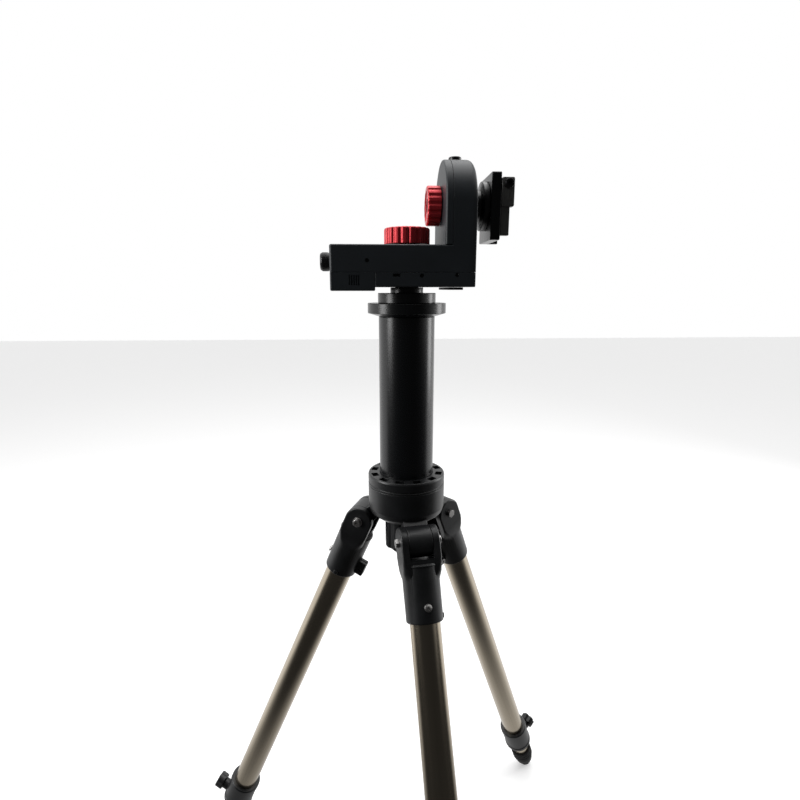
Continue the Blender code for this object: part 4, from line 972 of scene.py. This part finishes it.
def build_saddle_clamp():
    """The clamp block on the plate's front edge, its screw, and the brass pad that the screw pushes."""
    thick = box((CLAMP_LEFT, -SADDLE_HALF, 316.4), (116.6, -22, 347.4), 2.0, 0.9, "Y")
    rail = box((CLAMP_LEFT, -29, 286), (112, -22, 318.4), 0.8, 0.6, "Y")
    slit = box((111.2, -31, 320.5), (111.9, -20, 334.0), 0.1, 0.1)
    bore = rod(3.3, -40, -10, "Y", (CLAMP_SCREW_X, 0, CLAMP_SCREW_Z))
    block = softened(cut(join(thick, rail), bore, slit), 0.3)
    add_piece("clamp_jaw", block, GREY, "altitude_group", ["saddle_clamp_block"])
    screw = faced_back(socket_screw(5.0, 6.0, 2.5, 3.0, "Y", 13.1, 3.0))
    screw = moved(screw, CLAMP_SCREW_X, -SADDLE_HALF - 0.6, CLAMP_SCREW_Z)
    add_piece("clamp_screw", screw, BLACK_OXIDE, "saddle_screw_body", ["saddle_clamp_screw"])
    half = 5.0
    low = (CLAMP_SCREW_X - half, -17.2, CLAMP_SCREW_Z - half)
    high = (CLAMP_SCREW_X + half, -14.7, CLAMP_SCREW_Z + half)
    pad = box(low, high, 1.0, 0.5, "Y")
    add_piece("pressure_pad", pad, BRASS, "saddle_pad_body", ["saddle_pressure_pad"])


def finish_cad_nodes():
    """Materials for the CAD nodes that stay, all of them inside the head or seen only in part."""
    finishes = {
        "azimuth_worm_wheel": BRASS,
        "altitude_worm_wheel": BRASS,
        "azimuth_clutch_plate": BEARING,
        "altitude_clutch_plate": BEARING,
        "azimuth_bearing_lower": BEARING,
        "azimuth_bearing_upper": BEARING,
        "altitude_bearing_left": BEARING,
        "altitude_bearing_right": BEARING,
        "azimuth_worm": SILVER,
        "altitude_worm": SILVER,
        "azimuth_motor": CAN,
        "altitude_motor": CAN,
        "circuit_board": BOARD,
        # Black oxide on the USB socket is painted shade, so that the port's opening reads dark.
        "usb_socket": BLACK_OXIDE,
        "battery_box": MOULDED,
        "battery_pack": CELL,
    }
    for name, material in finishes.items():
        mesh = frame["nodes"][name].data
        mesh.materials.clear()
        mesh.materials.append(material)


# Floor, light and camera

FLOOR_HALF = 9.0
FLOOR_GAP = 0.0004
REFLECTED_DARK, REFLECTED_WHITE = 0.03, 1.0
LIGHTS_AIM = (0, 0, 0.85)
# Each light's name, place, width and height, and power in watts
LIGHTS = (
    ("left_softbox", (-2.2, -0.5, 1.5), (0.9, 1.8), 34),
    ("right_softbox", (2.4, 0.7, 1.4), (0.9, 2.2), 26),
    ("top_softbox", (0.0, 0.6, 2.8), (2.0, 2.0), 26),
)
# The camera's place from the hub's top, its turn to the right of +Y and its tilt up, in degrees
CAMERA_AT = (-43.8, -620.97, 228.07)
CAMERA_TURN = 3.294
CAMERA_TILT = -12.271
CAMERA_LENS = 23.08


def add_light(name, at, size, power):
    data = bpy.data.lights.new(name, "AREA")
    data.shape = "RECTANGLE"
    data.size, data.size_y = size
    data.energy = power
    obj = bpy.data.objects.new(name, data)
    obj.location = at
    obj.rotation_euler = (Vector(LIGHTS_AIM) - Vector(at)).to_track_quat("-Z", "Y").to_euler()
    bpy.context.scene.collection.objects.link(obj)
    obj.visible_camera = False


def build_stage():
    bm = bmesh.new()
    bmesh.ops.create_grid(bm, x_segments=8, y_segments=8, size=FLOOR_HALF)
    mesh = bpy.data.meshes.new("floor")
    bm.to_mesh(mesh)
    bm.free()
    floor = bpy.data.objects.new("floor", mesh)
    floor.location.z = cad_box[0][2] - FLOOR_GAP
    bpy.context.scene.collection.objects.link(floor)
    mesh.materials.append(floor_material())

    build_world()
    for name, at, size, power in LIGHTS:
        add_light(name, at, size, power)
    bpy.context.scene.view_settings.view_transform = "Standard"


def front_to_back(tree, space, start, end):
    """A ramp along Y, dark up to start and white from end on."""
    nodes, links = tree.nodes, tree.links
    place = nodes.new("ShaderNodeTexCoord")
    split = nodes.new("ShaderNodeSeparateXYZ")
    links.new(place.outputs[space], split.inputs["Vector"])
    fade = nodes.new("ShaderNodeMapRange")
    fade.interpolation_type = "SMOOTHSTEP"
    fade.inputs["From Min"].default_value = start
    fade.inputs["From Max"].default_value = end
    fade.inputs["To Min"].default_value = REFLECTED_DARK
    fade.inputs["To Max"].default_value = REFLECTED_WHITE
    links.new(split.outputs["Y"], fade.inputs["Value"])
    return fade.outputs["Result"]


def seen_and_reflected(tree, seen, reflected, output):
    """One shader where the camera looks straight at it, and another for all other rays."""
    path = tree.nodes.new("ShaderNodeLightPath")
    mix = tree.nodes.new("ShaderNodeMixShader")
    tree.links.new(path.outputs["Is Camera Ray"], mix.inputs["Fac"])
    tree.links.new(reflected, mix.inputs[1])
    tree.links.new(seen, mix.inputs[2])
    tree.links.new(mix.outputs["Shader"], tree.nodes[output].inputs["Surface"])


def floor_material():
    """Pale paper to the camera. All other rays find it dark in front of the object and white behind it."""
    material = surface("pale_floor", (0.9, 0.9, 0.9), 0.8, grain=60, bump=0.02, vary=0.02)
    tree = material.node_tree
    paper = tree.nodes["Principled BSDF"]
    paper.inputs["Emission Color"].default_value = (1, 1, 1, 1)
    paper.inputs["Emission Strength"].default_value = 0.28
    flag = tree.nodes.new("ShaderNodeEmission")
    tree.links.new(front_to_back(tree, "Object", -0.15, 0.5), flag.inputs["Color"])
    seen_and_reflected(tree, paper.outputs["BSDF"], flag.outputs["Emission"], "Material Output")
    return material


def build_world():
    """A room that the camera sees white. All other rays find it dark in front and white behind."""
    world = bpy.data.worlds.new("studio")
    bpy.context.scene.world = world
    world.use_nodes = True
    tree = world.node_tree
    room = tree.nodes["Background"]
    room.inputs["Strength"].default_value = 0.9
    tree.links.new(front_to_back(tree, "Generated", -0.75, 0.25), room.inputs["Color"])
    backdrop = tree.nodes.new("ShaderNodeBackground")
    backdrop.inputs["Color"].default_value = (1, 1, 1, 1)
    outputs = backdrop.outputs["Background"], room.outputs["Background"]
    seen_and_reflected(tree, *outputs, "World Output")


def build_camera():
    """At the fitted viewpoint, with no roll or shift."""
    data = bpy.data.cameras.new("camera")
    data.sensor_width = 36.0
    data.lens = CAMERA_LENS
    data.clip_start = 0.05
    camera = bpy.data.objects.new("camera", data)
    camera.location = AXIS_POINT + Vector(CAMERA_AT) * MM
    turn, tilt = math.radians(CAMERA_TURN), math.radians(CAMERA_TILT)
    level = math.cos(tilt)
    forward = Vector((math.sin(turn) * level, math.cos(turn) * level, math.sin(tilt)))
    camera.rotation_euler = forward.to_track_quat("-Z", "Y").to_euler()
    bpy.context.scene.collection.objects.link(camera)
    bpy.context.scene.camera = camera


build_stage()
build_camera()
build_hub()
build_column()
build_mounting_knob()
for leg_number in LEGS:
    build_leg(leg_number)
    build_tube_clamp(leg_number)
    build_lower_leg(leg_number)
    build_pivot_bolt(leg_number)
build_upper_casing()
build_lower_casing()
build_arm_casing()
build_housing_screws()
build_base_pad()
build_battery_door()
build_end_cap()
build_usb_tongue()
build_level()
build_azimuth_knob()
build_altitude_knob()
build_shaft()
build_saddle_plate()
build_saddle_clamp()
finish_cad_nodes()
